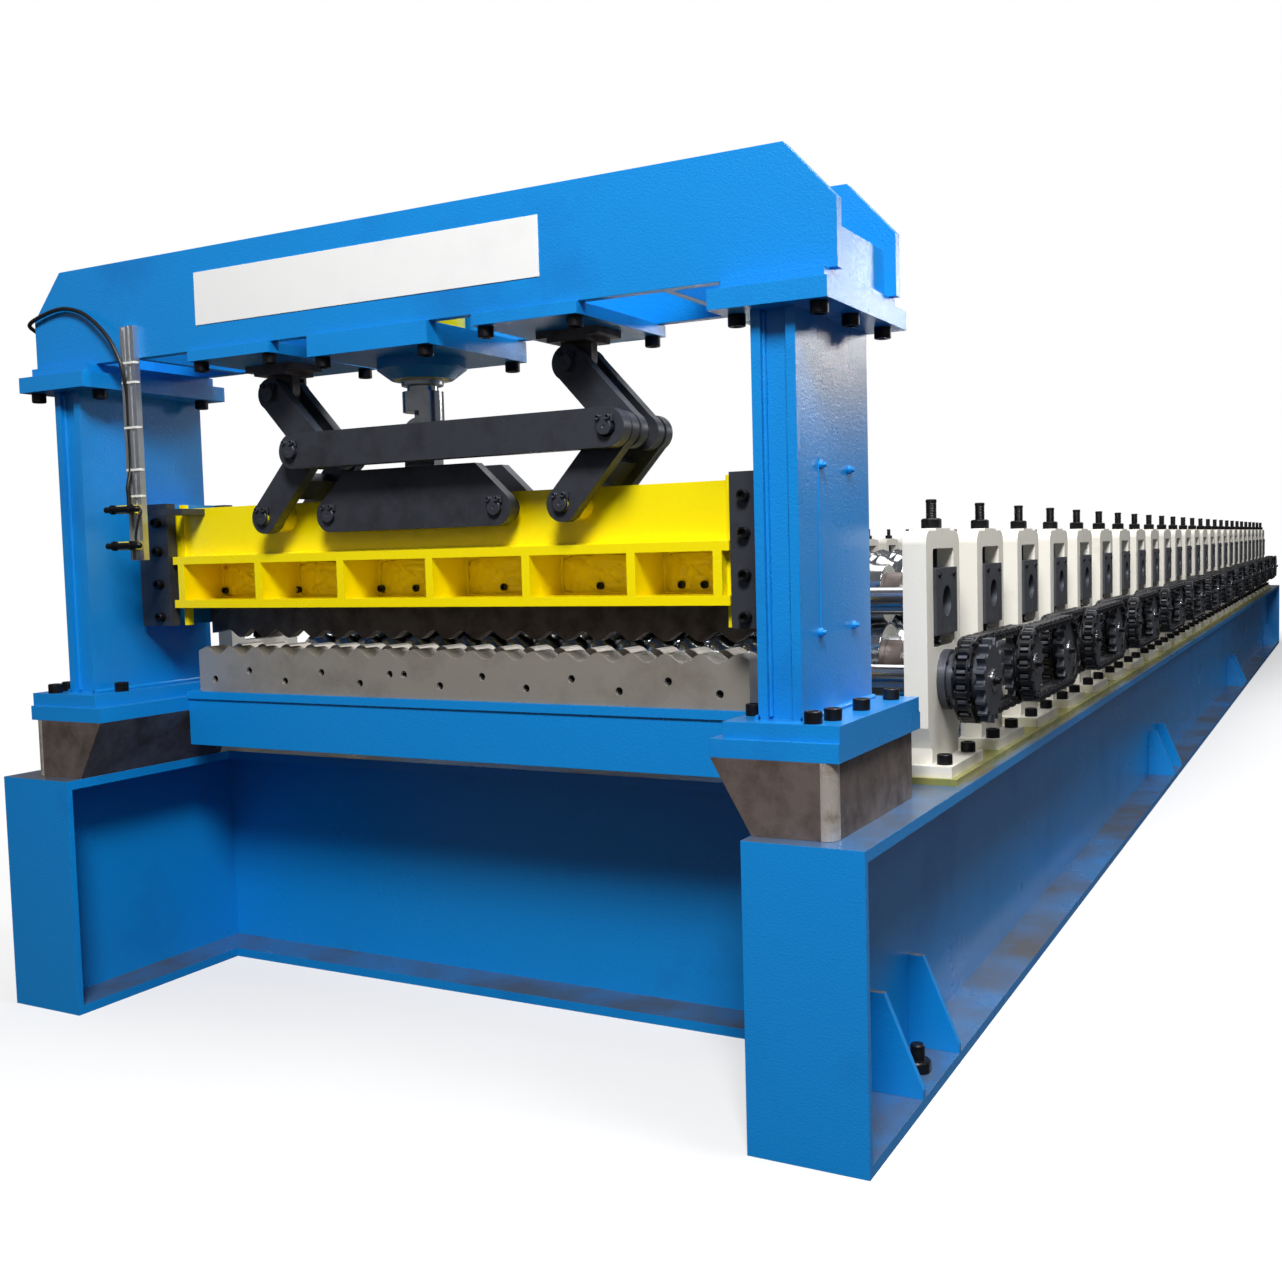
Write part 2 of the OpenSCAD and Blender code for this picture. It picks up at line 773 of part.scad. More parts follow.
module crosshead_webs() {
    y0 = crosshead_y0 + crosshead_plate;
    y1 = crosshead_y1 - crosshead_plate;
    color(blue) place() {
        both_sides() box([crosshead_half - 35, y0, crosshead_z0], [crosshead_half - 20, y1, crosshead_z1 - chamfer_z - 25]);
        both_sides() for (x = web_places) box([x, y0, crosshead_z0], [x + 15, y1, crosshead_z1 - 25]);
    }
}

mount_t = 20;
cylinder_plate_t = 38;

module crosshead_mount_plates() {
    z1 = crosshead_z0;
    color(blue) place() {
        both_sides() box([220, crosshead_y0 - 7, z1 - mount_t], [420, crosshead_y1 + 7, z1]);
        difference() {
            box([-130, crosshead_y0 - 7, z1 - cylinder_plate_t], [130, crosshead_y1 + 7, z1]);
            translate([0, ram_plate_y, z1 - cylinder_plate_t - 1]) cylinder(h = cylinder_plate_t + 2, r = neck_r + seat_gap);
        }
    }
}

lug_half = cheek_in_y - cheek_gap;
head_half = cheek_in_y + cheek_t;

// Lug between the cheeks of an upper arm, under a block and a plate that are as wide as the arm
module linkage_brackets() {
    z1 = crosshead_z0 - mount_t;
    color(raw_steel) place() for (s = [-1, 1]) {
        along_y(ram_plate_y - lug_half, ram_plate_y + lug_half) {
            translate([s * pivot_x, pivot_z]) circle(arm_r);
            translate([s * pivot_x - arm_r, pivot_z]) square([2 * arm_r, z1 - 10 - pivot_z]);
        }
        box([s * pivot_x - 38, ram_plate_y - head_half, pivot_z + arm_r + 6], [s * pivot_x + 38, ram_plate_y + head_half, z1 - 11]);
        box([s * pivot_x - 60, ram_plate_y - head_half, z1 - 12], [s * pivot_x + 60, ram_plate_y + head_half, z1]);
        bar_y(s * pivot_x, ram_plate_y - head_half - 6, ram_plate_y + head_half + 6, pivot_z, pin_r);
    }
}

flange_z1 = crosshead_z0 - cylinder_plate_t;
gland_z0 = flange_z1 - 46;
cylinder_z1 = crosshead_z1 + 16;
chamber_z0 = crosshead_z0 + 6;
chamber_r = 62;

neck_r = 50;
cone_h = 18;
gland_r = 36;

module press_cylinder() {
    color(yellow) place() translate([0, ram_plate_y, 0]) difference() {
        union() {
            translate([0, 0, crosshead_z0]) cylinder(h = cylinder_z1 - crosshead_z0, r = cylinder_r);
            translate([0, 0, flange_z1 - 2 * cone_h]) cylinder(h = crosshead_z0 - flange_z1 + 2 * cone_h + 1, r = neck_r);
            translate([0, 0, gland_z0]) cylinder(h = flange_z1 - 2 * cone_h + 1 - gland_z0, r = gland_r);
        }
        translate([0, 0, gland_z0 - 1]) cylinder(h = chamber_z0 - gland_z0 + 2, r = rod_r + fit);
        translate([0, 0, chamber_z0]) cylinder(h = cylinder_z1 - 14 - chamber_z0, r = chamber_r);
    }
}

// Flange that draws the cylinder against its mounting plate
module cylinder_flange() {
    color(blue) place() translate([0, ram_plate_y, flange_z1 - 2 * cone_h]) rotate_extrude()
        polygon([[neck_r + fit, 0], [56, 0], [80, cone_h], [80, 2 * cone_h], [neck_r + fit, 2 * cone_h]]);
}

// Ram

tab_w = 3;           // reach of the rib tabs past the end plates
blade_top = ram_z0 + 46;

module ram_beam() {
    h = ram_half;
    yp0 = ram_plate_y - ram_plate_t / 2;
    yp1 = ram_plate_y + ram_plate_t / 2;
    rib_top = rib_z + rib_t;
    color(yellow) place() difference() {
        union() {
            box([-h, yp0, rib_z], [h, yp1, ram_z1]);
            for (z = [ram_z0, rib_z]) {
                box([-h, ram_y0, z], [h, blade_y0, z + rib_t]);
                box([-h - end_plate_w - tab_w, ram_y0, z], [h + end_plate_w + tab_w, ram_y0 + 16, z + rib_t]);
            }
            box([-h, back_y0, ram_z0], [h, blade_y0, rib_top]);
            for (x = concat([-h, h - rib_t], [for (i = [0 : pocket_ribs - 1]) pocket_first + i * pocket_pitch - rib_t / 2]))
                box([x, ram_y0, ram_z0], [x + rib_t, back_y0 + weld, rib_z + weld]);
            both_sides() box([h - weld, yp0 - 4, gib_z0], [h + end_plate_w, yp0 + 10, ram_z1 + 8]);
            both_sides() box([h - weld, yp0 - 4, ram_z0], [h + end_plate_w, blade_y0, ram_z1]);
            both_sides() box([h + end_plate_w - weld, yp0 - 1, blade_top + 6], [gib_in + 22, blade_y0 + blade_t, ram_z1 - 10]);
            for (x = [-pivot_x, pivot_x])
                bar_y(x, ram_plate_y - cheek_out_y + cheek_gap, ram_plate_y + cheek_out_y - cheek_gap, ram_pivot_z, arm_r - 4);
        }
        for (x = [-link_pin_x, link_pin_x]) bar_y(x, yp0 - 10, yp1 + 10, ram_pivot_z, pin_r + fit);
    }
    color(black_oxide) place() for (x = [-pivot_x, pivot_x])
        bar_y(x, ram_plate_y - cheek_out_y - cheek_t - 6, ram_plate_y + cheek_out_y + cheek_t + 6, ram_pivot_z, pin_r);
}

module upper_blade() {
    h = blade_half;
    z = die_wave_z + sheet_gap;
    color(raw_steel) place() along_y(blade_y0, blade_y0 + blade_t)
        polygon(concat([[h, z], [h, blade_top], [-h, blade_top], [-h, z]], wave_line(z)));
}

// Side plate of the link that joins the rod to the ram
module link_outline() {
    for (s = [-1, 1]) translate([s * link_pin_x, ram_pivot_z]) circle(link_r);
    polygon([[-link_pin_x, ram_pivot_z - link_r], [link_pin_x, ram_pivot_z - link_r],
             [link_pin_x + link_r * sin(50), ram_pivot_z + link_r * cos(50)],
             [link_top_x, link_top_z], [-link_top_x, link_top_z],
             [-link_pin_x - link_r * sin(50), ram_pivot_z + link_r * cos(50)]]);
}

link_y = ram_plate_t / 2 + link_spacer;     // inner faces of the link plates, from the plate's middle

module ram_link_plates() {
    color(black_oxide) place() {
        for (y = [ram_plate_y - link_y - cheek_t, ram_plate_y + link_y]) along_y(y, y + cheek_t) link_outline();
        box([-70, ram_plate_y - link_y - weld, ram_z1], [70, ram_plate_y + link_y + weld, link_top_z]);
        for (x = [-link_pin_x, link_pin_x]) {
            bar_y(x, ram_plate_y - link_y - cheek_t - 5, ram_plate_y + link_y + cheek_t + 5, ram_pivot_z, pin_r);
            for (y = [ram_plate_y - link_y - weld, ram_plate_y + ram_plate_t / 2])
                bar_y(x, y, y + link_spacer + weld, ram_pivot_z, pin_r + 9);
        }
    }
}

piston_h = 34;
piston_top_gap = 10;
coupling_r = 37;
coupling_z1 = gland_z0 - 11;
eye_z = link_top_z + 55;
eye_half = 14;

// Rod with its piston at the top; its coupling below is cut away in front of the round eye that
// stands on the link
module piston_rod() {
    piston_z1 = cylinder_z1 - 14 - piston_top_gap;
    color(bright_steel) place() translate([0, ram_plate_y, 0]) {
        translate([0, 0, coupling_z1 - 1]) cylinder(h = piston_z1 - coupling_z1 + 1, r = rod_r);
        difference() {
            translate([0, 0, link_top_z + 26]) cylinder(h = coupling_z1 - link_top_z - 26, r = coupling_r);
            box([-2 * coupling_r, -2 * coupling_r, link_top_z], [15, eye_half + 2, coupling_z1 - 36]);
        }
        bar_y(-4, -eye_half, eye_half, eye_z, coupling_r - 1);
        box([-36, -eye_half, link_top_z], [30, eye_half, eye_z]);
        translate([0, 0, piston_z1 - piston_h]) cylinder(h = piston_h, r = chamber_r - fit);
    }
}

trigger_z = 975;

module trigger_bar() {
    y = ram_plate_y - ram_plate_t / 2;
    x0 = -ram_half + 6;
    x1 = x0 + 50;
    color(black_oxide) place() {
        box([x0, y - 51, trigger_z], [x1, y, trigger_z + 12]);
        box([x0 - 60, y - 59, trigger_z], [x1, y - 51 + weld, trigger_z + 12]);
    }
}

// Knee linkage

// Outline of an arm between two pins
module arm_outline(a, b, bore_a, bore_b) {
    len = norm(b - a);
    turn = atan2(b[1] - a[1], b[0] - a[0]);
    difference() {
        translate(a) rotate(turn) {
            circle(arm_r);
            translate([len, 0]) circle(arm_r);
            translate([0, -arm_r + 1]) square([len, 2 * arm_r - 2]);
        }
        translate(a) circle(bore_a);
        translate(b) circle(bore_b);
    }
}

// Web that joins the two cheeks of an arm, clear of both of its ends
module arm_web(a, b, end_a, end_b, half) {
    len = norm(b - a);
    turn = atan2(b[1] - a[1], b[0] - a[0]);
    along_y(ram_plate_y - half - weld, ram_plate_y + half + weld)
        translate(a) rotate(turn) translate([end_a, -web_half]) square([len - end_a - end_b, 2 * web_half]);
}

// Half height of the web inside an arm
web_half = 12;

// Both knees stand to the right of their pivots. The cheeks of an upper arm run inside those of
// the lower arm.
module upper_arm(s) {
    a = [s * pivot_x, pivot_z];
    k = [s * pivot_x + knee_dx, knee_z];
    for (y = [ram_plate_y - cheek_in_y - cheek_t, ram_plate_y + cheek_in_y])
        along_y(y, y + cheek_t) arm_outline(a, k, pin_r + fit, pin_r - 2);
    arm_web(a, k, arm_r + 14, arm_r + 16, cheek_in_y);
    bar_y(k[0], tie_y0 - 8, ram_plate_y + cheek_out_y + cheek_t + 6, k[1], pin_r);
}

module upper_arm_right() {
    color(black_oxide) place() upper_arm(1);
}

module upper_arm_left() {
    color(black_oxide) place() upper_arm(-1);
}

module lower_arm(s) {
    l = [s * pivot_x, ram_pivot_z];
    k = [s * pivot_x + knee_dx, knee_z];
    for (y = [ram_plate_y - cheek_out_y - cheek_t, ram_plate_y + cheek_out_y])
        along_y(y, y + cheek_t) arm_outline(l, k, pin_r + fit, pin_r + knee_gap);
    over_ram = ram_z1 + 6 - ram_pivot_z + web_half * knee_dx / arm_len;   // height of the web's start above the pivot
    arm_web(l, k, over_ram * arm_len / knee_dz, arm_r + 26, cheek_out_y);
}

module lower_arm_right() {
    color(black_oxide) place() lower_arm(1);
}

module lower_arm_left() {
    color(black_oxide) place() lower_arm(-1);
}

module tie_bar() {
    x0 = -pivot_x + knee_dx;
    x1 = pivot_x + knee_dx;
    color(black_oxide) place() along_y(tie_y0, tie_y1) difference() {
        union() {
            translate([x0, knee_z - tie_h / 2]) square([x1 - x0, tie_h]);
            for (x = [x0, x1]) translate([x, knee_z]) circle(tie_h / 2);
        }
        for (x = [x0, x1]) translate([x, knee_z]) circle(pin_r + (x == x0 ? fit : knee_gap));
    }
}

// Position sensing

module sensor_rail() {
    y0 = rail_bar_y0;
    x0 = rail_bar_x0;
    color(alu) place() difference() {
        box([x0, y0, rail_bar_z0], [x0 + rail_bar_w, crosshead_y0, rail_bar_z1]);
        box([x0 + 6, y0 - 1, rail_bar_z0 - 1], [x0 + 6 + groove_w, y0 + groove_d, rail_bar_z1 + 1]);
        box([x0 + 22, y0 - 1, rail_bar_z0 - 1], [x0 + 27, y0 + 3, rail_bar_z1 + 1]);
    }
}

module sensor_switches() {
    color(yellow) place() for (z = switch_z)
        box([rail_bar_x0 - 16, rail_bar_y0 - switch_t, z], [rail_bar_x0 + 26, rail_bar_y0, z + switch_h]);
}

// Tube swept along a line of points with eight sides
function unit(v) = v / norm(v);
function tangent(p, i) = unit(p[min(i + 1, len(p) - 1)] - p[max(i - 1, 0)]);
function ring(p, i, r) =
    let (t = tangent(p, i), u = unit(cross(t, abs(t[2]) < 0.8 ? [0, 0, 1] : [0, 1, 0])), v = cross(t, u))
    [for (k = [0 : 7]) p[i] + r * (cos(45 * k) * u + sin(45 * k) * v)];

module tube(p, r) {
    n = len(p);
    polyhedron(
        points = [for (i = [0 : n - 1]) each ring(p, i, r)],
        faces = concat(
            [[for (k = [0 : 7]) 7 - k]],
            [for (i = [0 : n - 2]) for (k = [0 : 7])
                [8 * i + k, 8 * i + (k + 1) % 8, 8 * (i + 1) + (k + 1) % 8, 8 * (i + 1) + k]],
            [[for (k = [0 : 7]) 8 * (n - 1) + k]]));
}

module sensor_cable() {
    color("#1a1a1a") place() tube(cable_points, cable_r);
}

base_rail_right();
base_rail_left();
base_cross_members();
anchor_brackets();
shim_strips();
roll_stands_right();
roll_stands_left();
upper_bearing_blocks();
lower_bearing_hubs();
adjusting_screws();
block_springs();
upper_shafts();
lower_shafts();
upper_rolls();
lower_rolls();
shaft_collars();
sprockets();
drive_chains();
entry_guide();
press_supports();
column_right();
column_left();
lower_crossbeam();
lower_dies();
crosshead_front_plate();
crosshead_rear_plate();
crosshead_webs();
crosshead_mount_plates();
linkage_brackets();
press_cylinder();
cylinder_flange();
guide_gibs();
sensor_rail();
sensor_switches();
sensor_cable();
ram_beam();
upper_blade();
ram_link_plates();
piston_rod();
trigger_bar();
upper_arm_right();
upper_arm_left();
lower_arm_right();
lower_arm_left();
tie_bar();
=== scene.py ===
"""Looks of a roll forming machine for corrugated sheet: finishes, fasteners, rolls, chains and fittings.

Lengths are in metres in the machine's own frame: +X is the chain-drive side, +Y runs from the
cut-off press to the sheet entry, and +Z is up. Every new piece is a surface worked out with numpy.
"""

import logging
import math
from dataclasses import dataclass, field
from enum import Enum

import bmesh
import bpy
import numpy as np
from mathutils import Matrix, Vector


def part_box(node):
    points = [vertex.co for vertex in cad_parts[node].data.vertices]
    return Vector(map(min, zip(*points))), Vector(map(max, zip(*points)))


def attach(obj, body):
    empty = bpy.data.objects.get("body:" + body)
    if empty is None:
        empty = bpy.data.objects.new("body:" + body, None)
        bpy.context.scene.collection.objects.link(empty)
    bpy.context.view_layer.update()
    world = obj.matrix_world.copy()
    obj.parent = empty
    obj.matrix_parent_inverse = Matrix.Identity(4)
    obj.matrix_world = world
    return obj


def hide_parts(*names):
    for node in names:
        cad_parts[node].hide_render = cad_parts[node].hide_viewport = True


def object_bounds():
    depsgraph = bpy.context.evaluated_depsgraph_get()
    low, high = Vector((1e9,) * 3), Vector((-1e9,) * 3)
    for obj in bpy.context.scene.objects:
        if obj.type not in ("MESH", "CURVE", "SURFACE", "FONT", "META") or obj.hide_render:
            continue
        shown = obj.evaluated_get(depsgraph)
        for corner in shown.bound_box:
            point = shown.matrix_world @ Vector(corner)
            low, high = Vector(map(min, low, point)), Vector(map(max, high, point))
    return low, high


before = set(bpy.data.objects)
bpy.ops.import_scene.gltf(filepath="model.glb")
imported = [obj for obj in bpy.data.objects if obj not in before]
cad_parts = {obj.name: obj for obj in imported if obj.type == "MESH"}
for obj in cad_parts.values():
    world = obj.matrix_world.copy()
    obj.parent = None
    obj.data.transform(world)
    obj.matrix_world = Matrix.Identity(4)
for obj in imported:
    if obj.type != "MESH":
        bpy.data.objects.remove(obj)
CAD_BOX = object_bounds()
LOG = logging.getLogger("roll_former")
Array = np.ndarray

MM = 0.001
PHOTO_SIDE = 1282
NEAR_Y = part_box("base_rail_right")[0].y


class Axis(Enum):
    """Directions that a fastener's head can point to."""

    UP = (0.0, 0.0, 1.0)
    DOWN = (0.0, 0.0, -1.0)
    FRONT = (0.0, -1.0, 0.0)
    BACK = (0.0, 1.0, 0.0)
    RIGHT = (1.0, 0.0, 0.0)
    LEFT = (-1.0, 0.0, 0.0)

    def turn(self) -> Array:
        """Returns the 3 by 3 matrix that turns +Z to this direction."""
        return np.array(Vector((0, 0, 1)).rotation_difference(Vector(self.value)).to_matrix())


# Surfaces


@dataclass
class Patch:
    """One surface.

    Attributes:
        points: Corner points, n by 3.
        faces: Faces with four corners each, m by 4.
    """

    points: Array
    faces: Array

    def placed(self, origins: Array, turn: Array | None = None) -> "Patch":
        """Copies the surface to many places at once.

        Args:
            origins: Places of the copies, k by 3.
            turn: 3 by 3 matrix that turns each copy before it is moved.

        Returns:
            One surface that holds all the copies.
        """
        base = self.points if turn is None else self.points @ np.asarray(turn).T
        origins = np.atleast_2d(np.asarray(origins, float))
        points = (base[None] + origins[:, None]).reshape(-1, 3)
        shift = np.arange(len(origins)) * len(base)
        return Patch(points, (self.faces[None] + shift[:, None, None]).reshape(-1, 4))

    def mirrored(self) -> "Patch":
        """Returns the surface together with its mirror image across the centreline."""
        return join([self, Patch(self.points * (-1, 1, 1), self.faces[:, ::-1])])


def join(patches: list[Patch]) -> Patch:
    """Puts several surfaces into one."""
    sizes = np.cumsum([0] + [len(p.points) for p in patches])
    faces = [p.faces + n for p, n in zip(patches, sizes)]
    return Patch(np.concatenate([p.points for p in patches]), np.concatenate(faces))


def grid(points: Array, close_rows: bool = False, close_cols: bool = True) -> Patch:
    """Joins a grid of points by four-cornered faces.

    Args:
        points: Grid of points, rows by columns by 3.
        close_rows: Whether the last row meets the first.
        close_cols: Whether the last column meets the first.

    Returns:
        The surface through the grid.
    """
    rows, cols = points.shape[:2]
    i, j = np.meshgrid(
        np.arange(rows if close_rows else rows - 1), np.arange(cols if close_cols else cols - 1), indexing="ij"
    )
    k, m = (i + 1) % rows, (j + 1) % cols
    faces = np.stack([i * cols + j, i * cols + m, k * cols + m, k * cols + j], axis=-1).reshape(-1, 4)
    return Patch(points.reshape(-1, 3), faces)


def lathe(profile: list[tuple[float, ...]], segments: int = 24) -> Patch:
    """Turns a profile about +Z.

    A row of the profile is (height, radius) for a circle, or (height, radius, 1) for a hexagon
    whose half width across flats is the radius: its radius at an angle is the half width over the
    cosine of the angle's distance from the nearest flat.

    Args:
        profile: Rows from one end of the surface to the other.
        segments: Columns round the axis, a multiple of six where there is a hexagon.

    Returns:
        The turned surface.
    """
    rows = np.array([(*row, 0.0)[:3] for row in profile])
    angle = np.arange(segments) * 2 * math.pi / segments
    off_flat = (angle + math.pi / 6) % (math.pi / 3) - math.pi / 6
    scale = 1 + rows[:, 2:] * (1 / np.cos(off_flat) - 1)
    radius = rows[:, 1:2] * scale
    heights = np.broadcast_to(rows[:, :1], radius.shape)
    return grid(np.stack([radius * np.cos(angle), radius * np.sin(angle), heights], axis=-1))


def sweep(path: Array, section: Array, up: tuple[float, float, float] = (0, 0, 1), ends: bool = True) -> Patch:
    """Carries a closed section along a path.

    At each point the section lies in the plane of two directions square to the path: the cross
    product of the path's direction with up, and the cross product of that with the path's direction.

    Args:
        path: Points of the path, n by 3.
        section: Points of the section, m by 2, or n by m by 2 where it changes along the path.
        up: Direction that the path is nowhere parallel to.
        ends: Whether both ends are closed.

    Returns:
        The swept surface.
    """
    path = np.asarray(path, float)
    along = np.gradient(path, axis=0)
    along /= np.linalg.norm(along, axis=1, keepdims=True)
    side = np.cross(along, np.asarray(up, float))
    side /= np.linalg.norm(side, axis=1, keepdims=True)
    over = np.cross(side, along)
    section = np.broadcast_to(section, (len(path), *np.shape(section)[-2:]))
    points = path[:, None] + section[..., :1] * side[:, None] + section[..., 1:] * over[:, None]
    if ends:
        width = points.shape[1]
        first = np.repeat(path[:1, None], width, axis=1)
        last = np.repeat(path[-1:, None], width, axis=1)
        points = np.concatenate([first, points, last])
    return grid(points)


def prism(outline: Array, depth: float, bevel: float = 0.0) -> Patch:
    """Gives a flat outline a thickness along +Z, from 0 to depth, with bevelled edges.

    Rows run from the middle of the lower face to its edge, up the side, and to the middle of the
    upper face, so the outline has to be seen whole from its middle.

    Args:
        outline: Points of the outline, n by 2.
        depth: Thickness.
        bevel: Width of the bevels.

    Returns:
        The closed surface.
    """
    outline = np.asarray(outline, float)
    middle = (outline.min(0) + outline.max(0)) / 2
    spread = outline - middle
    shrink = 1 - bevel / np.linalg.norm(spread, axis=1, keepdims=True)
    rows = [(0.0, 0.0), (1.0, 0.0), (0.0, bevel), (0.0, depth - bevel), (1.0, depth), (0.0, depth)]
    flats = [spread * 0, spread * shrink, spread, spread, spread * shrink, spread * 0]
    points = [np.column_stack([middle + f, np.full(len(f), z)]) for f, (_, z) in zip(flats, rows)]
    return grid(np.stack(points))


def disc_points(radius: float, count: int) -> Array:
    """Returns points of a circle, count by 2."""
    angle = np.arange(count) * 2 * math.pi / count
    return radius * np.column_stack([np.cos(angle), np.sin(angle)])


def smooth_path(points: Array, per_span: int = 6) -> Array:
    """Draws a smooth curve through given points.

    Each span is a Catmull-Rom cubic: it passes through the span's two points, and its slope at each
    is half the step between that point's neighbours.

    Args:
        points: Points that the curve passes, n by 3.
        per_span: Points of the curve in each span.

    Returns:
        Points of the curve.
    """
    p = np.asarray(points, float)
    padded = np.vstack([2 * p[0] - p[1], p, 2 * p[-1] - p[-2]])
    t = np.linspace(0, 1, per_span, endpoint=False)[None, :, None]
    a, b, c, d = (padded[k : len(p) - 1 + k, None] for k in range(4))
    curve = 0.5 * (2 * b + (c - a) * t + (2 * a - 5 * b + 4 * c - d) * t**2 + (3 * b - a - 3 * c + d) * t**3)
    return np.vstack([curve.reshape(-1, 3), p[-1:]])


def make_piece(name: str, patch: Patch, material: bpy.types.Material, body: str, crease: float = 32) -> bpy.types.Object:
    """Makes a Blender piece from a surface and lets it ride on a body.

    Args:
        name: Name of the piece.
        patch: Its surface.
        material: Its finish.
        body: Name of the body that it moves with.
        crease: Angle in degrees past which an edge stays sharp.

    Returns:
        The new object.
    """
    mesh = bpy.data.meshes.new(name)
    mesh.from_pydata(patch.points.tolist(), [], patch.faces.tolist())
    work = bmesh.new()
    work.from_mesh(mesh)
    bmesh.ops.remove_doubles(work, verts=work.verts, dist=0.01 * MM)
    bmesh.ops.recalc_face_normals(work, faces=work.faces)
    work.to_mesh(mesh)
    work.free()
    mesh.shade_smooth()
    mesh.set_sharp_from_angle(angle=math.radians(crease))
    mesh.materials.append(material)
    piece = bpy.data.objects.new(name, mesh)
    bpy.context.scene.collection.objects.link(piece)
    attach(piece, body)
    LOG.info("%s: %d faces", name, len(mesh.polygons))
    return piece


# Finishes


def linear(code: str) -> tuple[float, float, float, float]:
    """Turns an sRGB hex colour into linear red, green, blue and alpha."""
    parts = [int(code[k : k + 2], 16) / 255 for k in (1, 3, 5)]
    return (*[c / 12.92 if c <= 0.04045 else ((c + 0.055) / 1.055) ** 2.4 for c in parts], 1.0)


def add_node(tree: bpy.types.NodeTree, kind: str, inputs: dict | None = None, **settings: object) -> bpy.types.Node:
    """Adds a shader node.

    Args:
        tree: Node tree that it joins.
        kind: Name of the node's type, without ShaderNode in front.
        inputs: Values of its sockets by name or number: a socket is linked, anything else is set.
        **settings: Properties of the node.

    Returns:
        The node.
    """
    made = tree.nodes.new("ShaderNode" + kind)
    for key, value in settings.items():
        setattr(made, key, value)
    for key, value in (inputs or {}).items():
        if isinstance(value, bpy.types.NodeSocket):
            tree.links.new(value, made.inputs[key])
        else:
            made.inputs[key].default_value = value
    return made


def blend(tree: bpy.types.NodeTree, share: object, first: object, second: object) -> bpy.types.NodeSocket:
    """Mixes two colours.

    Args:
        tree: Node tree that the mix joins.
        share: Share of the second colour, a socket or a number.
        first: First colour, a socket or four numbers.
        second: Second colour.

    Returns:
        The socket with the mixed colour.
    """
    mix = add_node(tree, "Mix", {"Factor": share}, data_type="RGBA")
    for key, value in (("A_Color", first), ("B_Color", second)):
        socket = next(s for s in mix.inputs if s.identifier == key)
        if isinstance(value, bpy.types.NodeSocket):
            tree.links.new(value, socket)
        else:
            socket.default_value = value
    return next(s for s in mix.outputs if s.identifier == "Result_Color")


